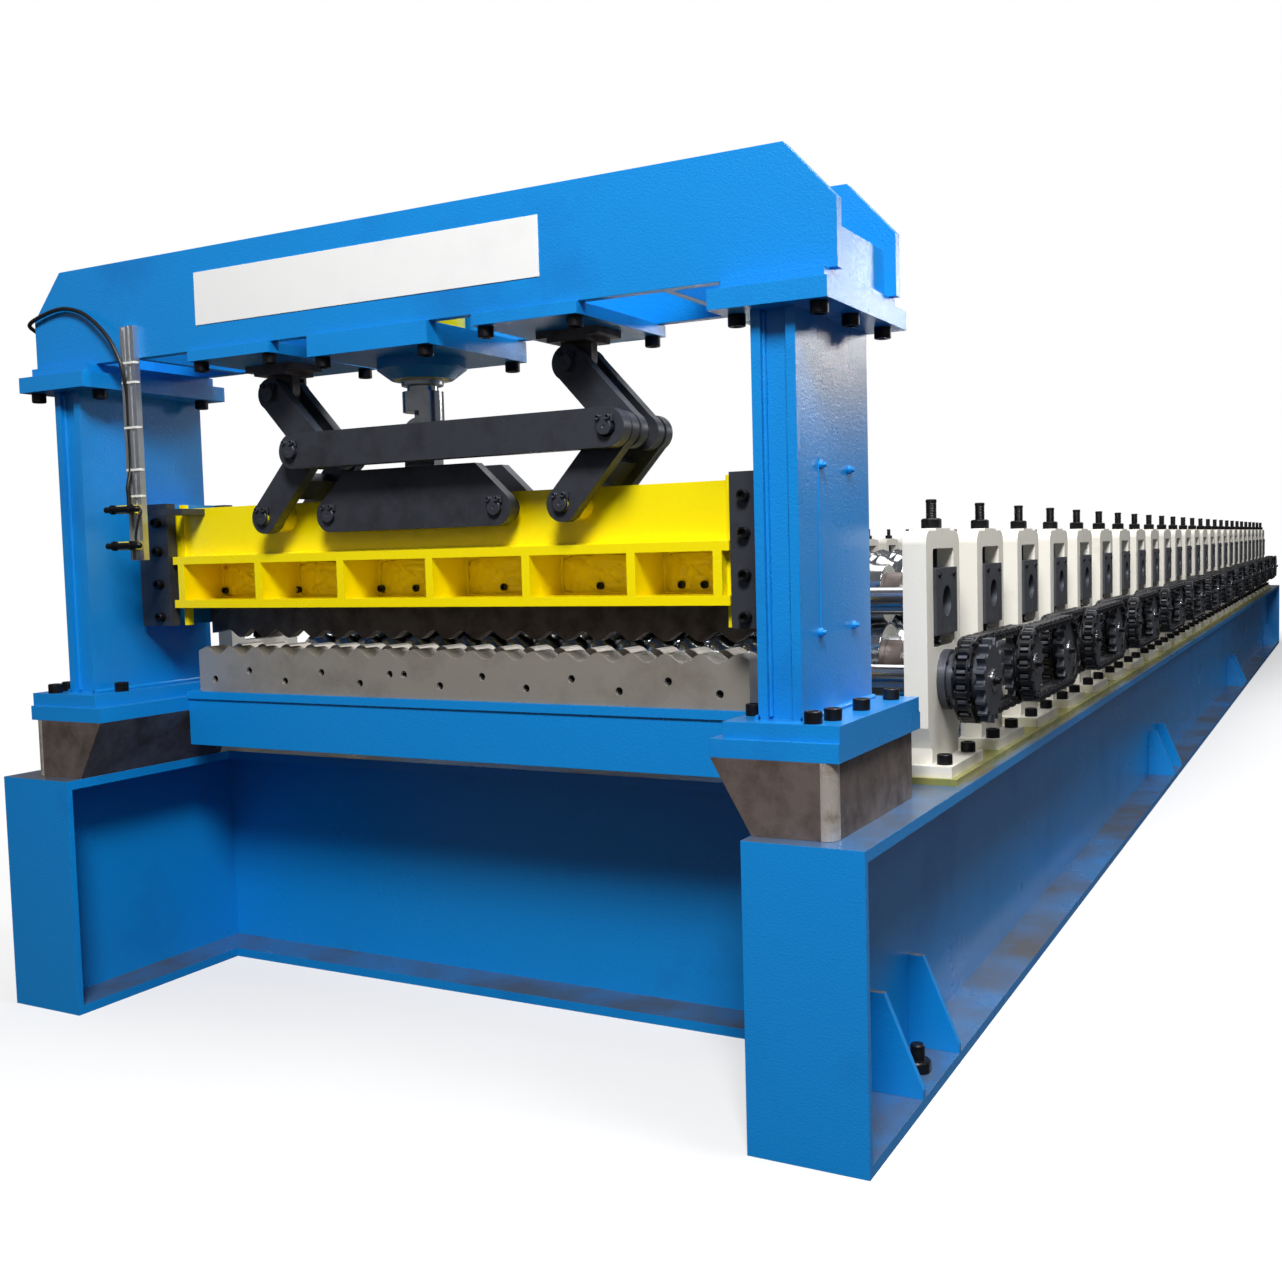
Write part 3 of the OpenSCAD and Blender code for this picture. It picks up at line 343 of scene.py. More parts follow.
@dataclass(frozen=True)
class Finish:
    """What a surface is made of and how it was finished.

    Attributes:
        title: Common name of the finish.
        colour: Main colour, sRGB hex.
        second: Colour of its stains, flecks or worn places, sRGB hex.
        metallic: 1 for bare metal and 0 for paint, plastic or rubber.
        rough: Lowest and highest roughness.
        grain: Size of the surface's own texture in metres.
        bump: Depth of that texture in metres.
        stain: Size of its stains in metres.
        stain_share: Share of the surface that the stains cover, from 0 to 1.
        stretch: Stretch of the texture along X, Y and Z, for brushed or ground metal.
        coat: Strength of a clear gloss layer.
        edge: Radius that its edges catch light with, in metres.
        dust: Share of workshop dust that lies on its level faces near the floor, from 0 to 1.
    """

    title: str
    colour: str
    second: str
    metallic: float = 0.0
    rough: tuple[float, float] = (0.3, 0.45)
    grain: float = 4 * MM
    bump: float = 0.1 * MM
    stain: float = 0.25
    stain_share: float = 0.3
    stretch: tuple[float, float, float] = (1.0, 1.0, 1.0)
    coat: float = 0.0
    edge: float = 1.2 * MM
    dust: float = 0.0

    def build(self) -> bpy.types.Material:
        """Makes the Blender material."""
        material = bpy.data.materials.new(self.title)
        material.use_nodes = True
        tree = material.node_tree
        tree.nodes.clear()
        place = add_node(tree, "TexCoord").outputs["Object"]
        laid = add_node(tree, "Mapping", {"Vector": place, "Scale": self.stretch}).outputs["Vector"]
        fine = add_node(tree, "TexNoise", {"Vector": laid, "Scale": 1 / self.grain, "Detail": 2.0, "Roughness": 0.55})
        broad = add_node(tree, "TexNoise", {"Vector": place, "Scale": 1 / self.stain, "Detail": 6.0, "Roughness": 0.62})
        stained = add_node(
            tree, "MapRange",
            {"Value": broad.outputs["Fac"], "From Min": 0.62 - 0.3 * self.stain_share, "From Max": 0.78, "To Max": 0.9},
        ).outputs["Result"]
        speck = add_node(
            tree, "MapRange", {"Value": fine.outputs["Fac"], "From Min": 0.3, "From Max": 0.7, "To Min": 0.0, "To Max": 0.12}
        ).outputs["Result"]
        share = add_node(tree, "Math", {0: stained, 1: speck}, operation="ADD", use_clamp=True).outputs[0]
        tint = blend(tree, share, linear(self.colour), linear(self.second))
        if self.dust:
            tint = blend(tree, self.dust_share(tree, place, broad.outputs["Fac"]), tint, linear(DUST))
        rough = add_node(
            tree, "MapRange",
            {"Value": broad.outputs["Fac"], "From Min": 0.3, "From Max": 0.7, "To Min": self.rough[0], "To Max": self.rough[1]},
        ).outputs["Result"]
        rounded = add_node(tree, "Bevel", {"Radius": self.edge}, samples=4).outputs["Normal"]
        relief = add_node(
            tree, "Bump", {"Height": fine.outputs["Fac"], "Distance": self.bump, "Strength": 1.0, "Normal": rounded}
        ).outputs["Normal"]
        shader = add_node(
            tree, "BsdfPrincipled",
            {
                "Base Color": tint, "Metallic": self.metallic,
                "Roughness": rough, "Normal": relief, "Coat Weight": self.coat, "Coat Roughness": 0.07,
                "Coat Normal": relief,
            },
        )
        add_node(tree, "OutputMaterial", {"Surface": shader.outputs["BSDF"]})
        return material

    def dust_share(self, tree: bpy.types.NodeTree, place: bpy.types.NodeSocket, cloud: bpy.types.NodeSocket) -> bpy.types.NodeSocket:
        """Adds the nodes for dust: on faces that look up, less with height, and in patches.

        Args:
            tree: Node tree of the material.
            place: Place on the object.
            cloud: Broad noise that makes the patches.

        Returns:
            The socket with the share of dust.
        """
        facing = add_node(tree, "SeparateXYZ", {0: add_node(tree, "NewGeometry").outputs["Normal"]}).outputs["Z"]
        level = add_node(tree, "MapRange", {"Value": facing, "From Min": 0.6, "From Max": 0.95}).outputs["Result"]
        height = add_node(tree, "SeparateXYZ", {0: place}).outputs["Z"]
        low = add_node(
            tree, "MapRange", {"Value": height, "From Min": 0.47, "From Max": 0.6, "To Min": self.dust, "To Max": 0.1 * self.dust}
        ).outputs["Result"]
        patchy = add_node(tree, "MapRange", {"Value": cloud, "From Min": 0.35, "From Max": 0.6, "To Min": 0.45}).outputs["Result"]
        both = add_node(tree, "Math", {0: level, 1: low}, operation="MULTIPLY").outputs[0]
        return add_node(tree, "Math", {0: both, 1: patchy}, operation="MULTIPLY").outputs[0]


DUST = "#4E4A46"
# Alkyd enamel sprayed on steel plate: a wet gloss over a coarse orange peel, which breaks
# reflections into small flecks.
BLUE_ENAMEL = Finish(
    "blue_sprayed_enamel", "#0C8ADA", "#0870BF", rough=(0.24, 0.36), grain=3.2 * MM, bump=0.62 * MM,
    stain=0.4, stain_share=0.25, coat=0.3, dust=1.0,
)
# The same enamel in yellow, brushed thick over the welds of the ram.
YELLOW_ENAMEL = Finish(
    "yellow_gloss_enamel", "#FFEA00", "#FFD400", rough=(0.2, 0.32), grain=9 * MM, bump=0.3 * MM,
    stain=0.3, stain_share=0.2, coat=0.15,
)
# Flame-cut plate left bare: brown mill scale with grey ground patches.
BARE_PLATE = Finish(
    "bare_flame_cut_steel", "#776B66", "#3A2C24", metallic=0.35, rough=(0.4, 0.6), grain=2 * MM, bump=0.08 * MM,
    stain=0.05, stain_share=0.7,
)
# Zinc with yellow passivation: pale green-yellow sheet metal.
ZINC_STRIP = Finish(
    "yellow_zinc_strip", "#B7B268", "#8E9A5C", metallic=0.6, rough=(0.35, 0.5), grain=3 * MM, stain=0.06, stain_share=0.5,
)
# Filled and sprayed grey iron castings, semi-matt.
CREAM_CASTING = Finish(
    "cream_painted_casting", "#E9E5DA", "#D2CDC0", rough=(0.36, 0.5), grain=3 * MM, bump=0.12 * MM,
    stain=0.12, stain_share=0.25, coat=0.1,
)
# Machined steel blackened in hot oxide and oiled: near black, with a low oily sheen.
BLACK_OXIDE = Finish(
    "oiled_black_oxide", "#4A4D55", "#303137", metallic=0.5, rough=(0.34, 0.52), grain=1.5 * MM, bump=0.03 * MM,
    stain=0.06, stain_share=0.5,
)
# High-tensile screws: black oxide, a little glossier than the plates.
BLACK_SCREW = Finish(
    "black_screw", "#242427", "#39383A", metallic=0.75, rough=(0.28, 0.42), grain=1 * MM, bump=0.02 * MM, stain=0.03,
    edge=0.5 * MM,
)
# Rolls turned and hard-chromed: mirror-like with fine turning marks round the axis.
CHROMED_ROLL = Finish(
    "hard_chromed_roll", "#C9CBCD", "#8F9092", metallic=1.0, rough=(0.12, 0.24), grain=0.8 * MM, bump=0.006 * MM,
    stain=0.09, stain_share=0.35, edge=0.8 * MM,
)
# Tool steel ground flat: warm grey with fine lines across.
GROUND_STEEL = Finish(
    "ground_tool_steel", "#B5AEA3", "#8B8278", metallic=0.5, rough=(0.32, 0.46), grain=1.2 * MM, bump=0.02 * MM,
    stain=0.12, stain_share=0.45, stretch=(0.12, 1.0, 1.0),
)
# Drawn round bar left bare: bright, with brown heat tints where it was welded.
DRAWN_BAR = Finish(
    "bright_drawn_bar", "#DAD0C6", "#8E7462", metallic=0.55, rough=(0.22, 0.34), grain=1.5 * MM, bump=0.02 * MM,
    stain=0.035, stain_share=0.35, stretch=(1.0, 1.0, 0.1), edge=0.5 * MM,
)
# Extruded aluminium as it leaves the die: pale and satin, with lines along its length.
MILL_ALUMINIUM = Finish(
    "mill_finish_aluminium", "#D3D6DA", "#B9BCC1", metallic=0.9, rough=(0.3, 0.42), grain=1.5 * MM, bump=0.02 * MM,
    stain=0.08, stretch=(1.0, 1.0, 0.08), edge=0.6 * MM,
)
# Extruded PVC sheath: black and half matt.
CABLE_SHEATH = Finish("black_pvc_sheath", "#17171A", "#242428", rough=(0.4, 0.5), grain=1 * MM, bump=0.01 * MM)
# Moulded nylon.
NYLON = Finish("white_nylon", "#EDEDE8", "#DDDDD5", rough=(0.35, 0.45), grain=1 * MM, bump=0.01 * MM)
# Printed film on a thin plate, with nothing printed on it.
WHITE_FILM = Finish("white_film", "#F1F1F0", "#E6E6E6", rough=(0.28, 0.34), grain=30 * MM, bump=0.05 * MM, stain=0.3)
# Bright zinc plate.
BRIGHT_ZINC = Finish("bright_zinc", "#C4C7CA", "#A4A7AB", metallic=0.95, rough=(0.22, 0.34), grain=1 * MM, bump=0.01 * MM)


class Finishes:
    """Every finish of the machine, built once."""

    def __init__(self) -> None:
        """Builds the Blender materials."""
        self.blue = BLUE_ENAMEL.build()
        self.yellow = YELLOW_ENAMEL.build()
        self.plate = BARE_PLATE.build()
        self.zinc = ZINC_STRIP.build()
        self.cream = CREAM_CASTING.build()
        self.black = BLACK_OXIDE.build()
        self.screw = BLACK_SCREW.build()
        self.chrome = CHROMED_ROLL.build()
        self.ground = GROUND_STEEL.build()
        self.aluminium = MILL_ALUMINIUM.build()
        self.sheath = CABLE_SHEATH.build()
        self.nylon = NYLON.build()
        self.film = WHITE_FILM.build()
        self.bright = BRIGHT_ZINC.build()
        self.bar = DRAWN_BAR.build()

    def dress_nodes(self) -> None:
        """Gives each CAD node its real material."""
        named = {
            "blue": "base_rail_right base_rail_left base_cross_members anchor_brackets entry_guide column_right "
                    "column_left lower_crossbeam crosshead_front_plate crosshead_rear_plate crosshead_webs "
                    "crosshead_mount_plates cylinder_flange",
            "yellow": "ram_beam press_cylinder sensor_switches",
            "plate": "press_supports upper_blade shaft_collars linkage_brackets",
            "zinc": "shim_strips",
            "cream": "roll_stands_right roll_stands_left",
            "black": "upper_bearing_blocks lower_bearing_hubs block_springs sprockets guide_gibs "
                     "ram_link_plates trigger_bar upper_arm_right upper_arm_left lower_arm_right lower_arm_left tie_bar",
            "screw": "adjusting_screws drive_chains",
            "chrome": "upper_shafts lower_shafts upper_rolls lower_rolls piston_rod",
            "ground": "lower_dies",
            "aluminium": "sensor_rail",
            "sheath": "sensor_cable",
        }
        for finish, nodes in named.items():
            for name in nodes.split():
                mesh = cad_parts[name].data
                mesh.materials.clear()
                mesh.materials.append(getattr(self, finish))
        LOG.info("finishes on %d nodes", len(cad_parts))


# Fasteners


@dataclass(frozen=True)
class SocketScrew:
    """Cap screw with a hexagon socket, its head standing on the seat at height 0.

    Attributes:
        thread: Thread diameter.
        washer: Whether a washer lies under the head.
    """

    thread: float
    washer: bool = False

    def surface(self) -> Patch:
        """Returns the closed head: socket floor, socket wall, bevelled rim, side and seat."""
        head, high = 0.75 * self.thread, self.thread
        socket, deep, bevel = 0.42 * self.thread, 0.55 * self.thread, 0.08 * self.thread
        lift = 0.18 * self.thread if self.washer else 0.0
        rows = [
            (high + lift - deep, 0.0), (high + lift - deep, socket, 1), (high + lift - bevel / 2, socket, 1),
            (high + lift, socket * 1.14), (high + lift, head - bevel), (high + lift - bevel, head), (lift, head),
        ]
        if self.washer:
            rim = 1.25 * self.thread
            rows += [(lift, rim - bevel), (lift - bevel / 2, rim), (0.0, rim)]
        return lathe(rows + [(0.0, 0.0)], 18)


@dataclass(frozen=True)
class HexBolt:
    """Hexagon bolt head or nut, with a chamfered top and a stud end above it."""

    thread: float
    stud: float = 0.0

    def surface(self) -> Patch:
        """Returns the closed head and stud."""
        flat, high = 0.86 * self.thread, 0.8 * self.thread
        rows = [(0.0, 0.0), (0.0, flat, 1), (high * 0.86, flat, 1), (high, flat * 0.94)]
        if self.stud:
            radius = self.thread / 2
            rows += [(high, radius), (high + self.stud - 0.1 * self.thread, radius), (high + self.stud, radius * 0.8)]
            high += self.stud
        return lathe(rows + [(high, 0.0)], 18)


@dataclass
class Fasteners:
    """Screws of the press, the linkage and the roll stands, each on what it holds."""

    finishes: Finishes
    foot_screw: SocketScrew = SocketScrew(18 * MM)
    plate_screw: SocketScrew = SocketScrew(18 * MM)
    gib_screw: SocketScrew = SocketScrew(13 * MM)
    small_screw: SocketScrew = SocketScrew(9 * MM)
    stations: Array = field(default_factory=lambda: Station.places())

    def build(self) -> None:
        """Makes every group of screws."""
        self.stand_feet()
        self.column_feet()
        self.crosshead()
        self.gibs()
        self.ram_pockets()
        self.dies()
        self.anchors()
        self.column_studs()

    def stand_feet(self) -> None:
        """Two screws on the foot of each stand, near its ends."""
        lo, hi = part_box("roll_stands_right")
        x, z = hi.x - 20 * MM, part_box("shim_strips")[1].z + 20 * MM
        ends = np.concatenate([self.stations - 78 * MM, self.stations + 78 * MM])
        places = np.column_stack([np.full(len(ends), x), ends, np.full(len(ends), z)])
        make_piece(
            "stand_foot_screws", self.foot_screw.surface().placed(places, Axis.UP.turn()).mirrored(),
            self.finishes.screw, "frame",
        )

    def column_feet(self) -> None:
        """Screws down through the foot plates, and up into the seat plates of the columns."""
        foot_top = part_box("column_right")[0].z + 53 * MM
        seat_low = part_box("column_right")[1].z - 48 * MM
        feet = [(0.82, NEAR_Y + y, foot_top) for y in (0.101, 0.226, 0.372)] + [(0.688, NEAR_Y + 0.12, foot_top), (0.806, NEAR_Y + 0.058, foot_top)]
        seats = [(x, NEAR_Y + y, seat_low) for x, y in ((0.682, 0.1), (0.822, 0.07), (0.822, 0.2), (0.822, 0.35), (0.682, 0.36))]
        screws = join([
            self.plate_screw.surface().placed(feet, Axis.UP.turn()),
            self.plate_screw.surface().placed(seats, Axis.DOWN.turn()),
        ])
        make_piece("column_plate_screws", screws.mirrored(), self.finishes.screw, "frame")

    def crosshead(self) -> None:
        """Screws up through the plates that carry the linkage and the cylinder."""
        low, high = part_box("crosshead_mount_plates")
        arm_z = high.z - 20 * MM
        arm = [(x, NEAR_Y + y, arm_z) for x in (0.235, 0.405) for y in (0.1, 0.36)]
        mid = [(0.112, NEAR_Y + y, low.z) for y in (0.1, 0.36)]
        screws = self.plate_screw.surface().placed(arm + mid, Axis.DOWN.turn()).mirrored()
        make_piece("crosshead_screws", screws, self.finishes.screw, "frame")

    def gibs(self) -> None:
        """Four screws through the front plate of each guide."""
        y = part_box("guide_gibs")[0].y
        places = [(0.646, y, z) for z in (0.962, 0.904, 0.838, 0.772)]
        screws = self.gib_screw.surface().placed(places, Axis.FRONT.turn()).mirrored()
        make_piece("gib_screws", screws, self.finishes.screw, "frame")

    def ram_pockets(self) -> None:
        """Screws in the pockets of the ram that hold the blade."""
        y = NEAR_Y + 0.305
        places = [(x, y, 0.821) for x in (-0.577, -0.379, -0.167, -0.083, 0.118, 0.321, 0.48, 0.523)]
        screws = self.small_screw.surface().placed(places, Axis.FRONT.turn())
        make_piece("blade_screws", screws, self.finishes.screw, "ram")

    def dies(self) -> None:
        """Screws sunk into the two staggered rows of holes of the die."""
        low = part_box("lower_dies")[0]
        count = 13
        x = -575 * MM + 95 * MM * np.arange(count)
        z = low.z + np.where(np.arange(count) % 2 == 0, 26 * MM, 45 * MM)
        x[5], x, z = x[5] + 12 * MM, np.append(x, x[5] - 22 * MM), np.append(z, z[5])
        places = np.column_stack([x, np.full(len(x), low.y + 13.5 * MM), z])
        screw = SocketScrew(8.5 * MM).surface()
        make_piece("die_screws", screw.placed(places, Axis.FRONT.turn()), self.finishes.screw, "frame")

    def anchors(self) -> None:
        """Anchor bolts between the gussets on the rails' lower flanges."""
        low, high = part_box("anchor_brackets")
        first, last = low.y + 111 * MM, high.y - 111 * MM
        places = [(0.858, y, 18 * MM) for y in np.linspace(first, last, 4)]
        bolts = HexBolt(24 * MM, stud=26 * MM).surface().placed(places).mirrored()
        make_piece("anchor_bolts", bolts, self.finishes.screw, "frame")

    def column_studs(self) -> None:
        """Ends of the through bolts on the outer faces of the columns, under the paint."""
        x = 0.783
        places = [(x, NEAR_Y + y, z) for y, z in ((0.164, 1.001), (0.287, 0.998), (0.151, 0.752), (0.298, 0.754))]
        bolts = HexBolt(7.5 * MM, stud=5 * MM).surface().placed(places, Axis.RIGHT.turn()).mirrored()
        make_piece("column_through_bolts", bolts, self.finishes.blue, "frame")


# Roll line


class Station:
    """Places of the roll stations, read from the shafts."""

    COUNT = 26
    PITCH = 342.9 * MM

    @staticmethod
    def places() -> Array:
        """Returns the middle of each station along the machine."""
        low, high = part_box("lower_shafts")
        radius = (high.z - low.z) / 2
        return np.linspace(low.y + radius, high.y - radius, Station.COUNT)


@dataclass
class RollSet:
    """Chromed rolls whose waves grow in number from the entry to the press.

    Attributes:
        finishes: Finishes of the machine.
        mean_radius: Radius midway between the wave's crest and its foot.
        amplitude: Half height of the waves.
        pitch: Distance between two waves.
        half: Half length of a roll.
        bore: Radius of the hole for the shaft.
        full: Number of waves of the finished sheet.
    """

    finishes: Finishes
    mean_radius: float = 69.6 * MM
    amplitude: float = 8.5 * MM
    pitch: float = 66.5 * MM
    half: float = 625 * MM
    bore: float = 25.05 * MM
    full: int = 18
    near_count: int = 8

    def waves(self, index: int) -> int:
        """Returns how many waves the sheet has at a station, counted from the press."""
        return min(self.full, 2 + math.floor((Station.COUNT - 1 - index) * 0.75))

    def profile(self, index: int, side: int, per_wave: int) -> list[tuple[float, float]]:
        """Works out the profile of one roll.

        Over the formed width the radius is the mean radius less the side times the amplitude
        times the cosine of the place in the wave; outside it stays at the foot of the wave.

        Args:
            index: Number of the station.
            side: 1 for an upper roll and -1 for a lower one.
            per_wave: Points on each wave.

        Returns:
            Rows of place along the roll and radius, from bore to bore.
        """
        count = self.waves(index)
        span = count * self.pitch / 2
        x = np.linspace(-span, span, count * per_wave + 1)
        radius = self.mean_radius - side * self.amplitude * np.cos(2 * math.pi * (x + span) / self.pitch)
        flat, edge = self.mean_radius - side * self.amplitude, 1.5 * MM
        ends = [(-self.half, self.bore), (-self.half, flat - edge), (-self.half + edge, flat)]
        back = [(self.half - edge, flat), (self.half, flat - edge), (self.half, self.bore), (-self.half, self.bore)]
        return ends + list(zip(x.tolist(), radius.tolist())) + back

    def build(self) -> None:
        """Makes the upper and the lower rolls, finer near the press, where they show."""
        to_x = Axis.RIGHT.turn()
        for node, side, title in (("upper_rolls", 1, "upper"), ("lower_rolls", -1, "lower")):
            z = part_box(f"{title}_shafts")
            height = (z[0].z + z[1].z) / 2
            near, far = [], []
            for index, y in enumerate(Station.places()):
                close = index < self.near_count
                roll = lathe(self.profile(index, side, 8 if close else 6), 36 if close else 20)
                (near if close else far).append(roll.placed([(0, y, height)], to_x))
            piece = make_piece(f"{title}_rolls_near_press", join(near), self.finishes.chrome, "frame")
            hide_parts(node)
            make_piece(f"{title}_rolls_to_entry", join(far), self.finishes.chrome, "frame")


@dataclass
class DriveChains:
    """Roller chains that join neighbouring sprockets.

    Attributes:
        finishes: Finishes of the machine.
        pitch: Distance between two rollers.
        teeth: Teeth of each sprocket.
        row_pitch: Distance between the two rows of a sprocket.
        middle_x: Place between the two rows.
        near_count: Number of chains next to the press that have rounded plates.
    """

    finishes: Finishes
    pitch: float = 25.4 * MM
    teeth: int = 17
    row_pitch: float = 31.88 * MM
    middle_x: float = 900 * MM
    near_count: int = 8

    def rollers(self) -> Array:
        """Returns the roller centres of one chain in Y and Z, 44 by 2.

        Nine rollers lie on each sprocket at steps of a full turn over the teeth, and thirteen
        more divide each straight run evenly.
        """
        radius = self.pitch / 2 / math.sin(math.pi / self.teeth)
        step = 2 * math.pi / self.teeth
        wrap = np.arange((self.teeth + 1) // 2) * step
        near = radius * np.column_stack([np.cos(math.pi / 2 + wrap), np.sin(math.pi / 2 + wrap)])
        far = radius * np.column_stack([np.cos(1.5 * math.pi + wrap), np.sin(1.5 * math.pi + wrap)])
        far[:, 0] += Station.PITCH
        share = np.arange(1, 14)[:, None] / 14
        return np.vstack([near, near[-1] + (far[0] - near[-1]) * share, far, far[-1] + (near[0] - far[-1]) * share])

    def links(self, centres: Array, corners: int) -> Patch:
        """Makes the plates, rollers and pins of one chain about X = 0.

        A plate's outline is a capsule with a waist: its half height at a place along the link is
        the end radius at the pins, and a quarter less midway.

        Args:
            centres: Roller centres, n by 2.
            corners: Points of a plate's outline.

        Returns:
            The chain's surface.
        """
        after = np.roll(centres, -1, axis=0)
        middle, run = (centres + after) / 2, after - centres
        length = np.linalg.norm(run, axis=1, keepdims=True)
        along = run / length
        across = np.column_stack([-along[:, 1], along[:, 0]])
        angle = np.arange(corners) * 2 * math.pi / corners
        end = 11 * MM
        u = (self.pitch / 2) * np.tanh(2.4 * np.cos(angle)) + end * np.cos(angle)
        v = end * np.sin(angle) * (1 - 0.22 * np.sin(angle) ** 2)
        outline = middle[:, None] + u[None, :, None] * along[:, None] + v[None, :, None] * across[:, None]
        parts = []
        outer = np.arange(len(centres)) % 2 == 0
        for side in (-1, 1):
            x0 = np.where(outer, 12.3, 8.7) * MM * side
            for_plate = [middle[:, None].repeat(corners, 1), outline, outline, middle[:, None].repeat(corners, 1)]
            depth = [x0, x0, x0 + side * 3.2 * MM, x0 + side * 3.2 * MM]
            rows = [np.dstack([np.broadcast_to(d[:, None, None], (*p.shape[:2], 1)), p]) for p, d in zip(for_plate, depth)]
            plates = np.stack(rows, axis=1)
            one = grid(plates[0])
            faces = one.faces[None] + (np.arange(len(plates)) * plates[0].size // 3)[:, None, None]
            parts.append(Patch(plates.reshape(-1, 3), faces.reshape(-1, 4)))
        seats = np.column_stack([np.zeros(len(centres)), centres])
        roller = lathe([(-8.4 * MM, 0.0), (-8.4 * MM, 7.9 * MM), (8.4 * MM, 7.9 * MM), (8.4 * MM, 0.0)], 10)
        pin = lathe([(-18 * MM, 0), (-18 * MM, 3 * MM), (-17 * MM, 4 * MM), (17 * MM, 4 * MM), (18 * MM, 3 * MM), (18 * MM, 0)], 6)
        return join(parts + [shape.placed(seats, Axis.RIGHT.turn()) for shape in (roller, pin)])

    def build(self) -> None:
        """Makes the chains: inner rows join the first pair of stations, outer rows the next."""
        low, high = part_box("lower_shafts")
        z = (low.z + high.z) / 2
        places = Station.places()
        centres = self.rollers()
        flipped = centres * (-1, 1) + (Station.PITCH, 0)
        groups: dict[str, list[Patch]] = {"near_press": [], "to_entry": []}
        for index, y in enumerate(places[:-1]):
            close = index < self.near_count
            odd = index % 2
            chain = self.links(flipped if odd else centres, 16 if close else 8)
            x = self.middle_x + (0.5 if odd else -0.5) * self.row_pitch
            groups["near_press" if close else "to_entry"].append(chain.placed([(x, y, z)]))
        first = make_piece("drive_chains_near_press", join(groups["near_press"]), self.finishes.screw, "frame")
        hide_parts("drive_chains")
        make_piece("drive_chains_to_entry", join(groups["to_entry"]), self.finishes.screw, "frame")


@dataclass
class StandFittings:
    """Springs, adjusting screws and shaft ends of the roll stands."""

    finishes: Finishes
    stand_x: float = 815 * MM

    def build(self) -> None:
        """Makes the fittings on both sides."""
        self.springs()
        self.screws()
        self.shaft_ends()
        self.hub_screws()

    def springs(self) -> None:
        """Helical springs under the upper bearing blocks.

        The wire's middle line is at a constant radius, and its height grows evenly with the angle.
        """
        low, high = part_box("block_springs")
        turns, per_turn, wire = 4, 12, 2.1 * MM
        t = np.linspace(0, 1, turns * per_turn + 1)
        angle = 2 * math.pi * turns * t
        radius = 11.9 * MM
        height = wire + (high.z - low.z - 2 * wire) * t
        path = np.column_stack([radius * np.cos(angle), radius * np.sin(angle), height])
        coil = sweep(path, disc_points(wire, 6))
        places = np.column_stack([np.full(Station.COUNT, self.stand_x), Station.places(), np.full(Station.COUNT, low.z)])
        piece = make_piece("block_coils", coil.placed(places).mirrored(), self.finishes.screw, "frame")
        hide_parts("block_springs")

    def screws(self) -> None:
        """Threaded adjusting screws with their lock nuts.

        The thread is a row of ridges: the radius goes from crest to root and back at each pitch.
        """
        low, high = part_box("adjusting_screws")
        crest, root, pitch, nut = 10 * MM, 8.9 * MM, 3 * MM, 18 * MM
        top = high.z - low.z
        nut_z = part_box("roll_stands_right")[1].z - low.z
        rows = [(0.0, 0.0), (0.0, crest), (nut_z, crest), (nut_z, 16 * MM, 1), (nut_z + nut * 0.88, 16 * MM, 1), (nut_z + nut, 15 * MM)]
        start = nut_z + nut
        for k in range(int((top - start - 2 * MM) / pitch)):
            rows += [(start + k * pitch, root), (start + (k + 0.5) * pitch, crest)]
        rows += [(top - 1.5 * MM, crest), (top, crest - 2 * MM), (top, 0.0)]
        places = np.column_stack([np.full(Station.COUNT, self.stand_x), Station.places(), np.full(Station.COUNT, low.z)])
        piece = make_piece(
            "threaded_adjusting_screws", lathe(rows, 12).placed(places).mirrored(), self.finishes.screw, "frame"
        )
        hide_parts("adjusting_screws")

    def shaft_ends(self) -> None:
        """Dark screw in the middle of each shaft's driven end."""
        low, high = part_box("lower_shafts")
        z = (low.z + high.z) / 2
        ends = np.column_stack([np.full(Station.COUNT, high.x), Station.places(), np.full(Station.COUNT, z)])
        screw = SocketScrew(9 * MM, washer=True).surface().placed(ends, Axis.RIGHT.turn())
        make_piece("shaft_end_screws", screw, self.finishes.screw, "frame")

    def hub_screws(self) -> None:
        """Four screws round each lower bearing hub, and two on each block."""
        hub_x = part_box("lower_bearing_hubs")[1].x
        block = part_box("upper_bearing_blocks")
        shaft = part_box("lower_shafts")
        z = (shaft[0].z + shaft[1].z) / 2
        head = SocketScrew(7 * MM).surface()
        spots = []
        for angle in np.radians([45, 135, 225, 315]):
            spots += [(hub_x, y + 46 * MM * math.cos(angle), z + 46 * MM * math.sin(angle)) for y in Station.places()]
        spots += [(block[1].x, y + s * 46 * MM, block[1].z - 12 * MM) for y in Station.places() for s in (-1, 1)]
        sunk = np.array(spots) - (4 * MM, 0, 0)
        make_piece("bearing_screws", head.placed(sunk, Axis.RIGHT.turn()).mirrored(), self.finishes.screw, "frame")


# Press


@dataclass(frozen=True)
class Linkage:
    """Pin places of the knee linkage at rest.

    Attributes:
        pivot_x: Distance from the centreline to the pivots.
        pivot_z: Height of the fixed pivots.
        ram_pivot_z: Height of the pivots on the ram.
        knee_dx: Distance across from a pivot to its knee.
        link_x: Distance from the centreline to the pins of the link plates.
        ram_pin_y: Front end of the ram's pins.
    """

    pivot_x: float = 330 * MM
    pivot_z: float = 1195 * MM
    ram_pivot_z: float = 961 * MM
    knee_dx: float = 107.666 * MM
    link_x: float = 185 * MM
    ram_pin_y: float = NEAR_Y + 159 * MM

    @property
    def knee_z(self) -> float:
        """Height of the knees, midway between the two pivots of an arm."""
        return (self.pivot_z + self.ram_pivot_z) / 2


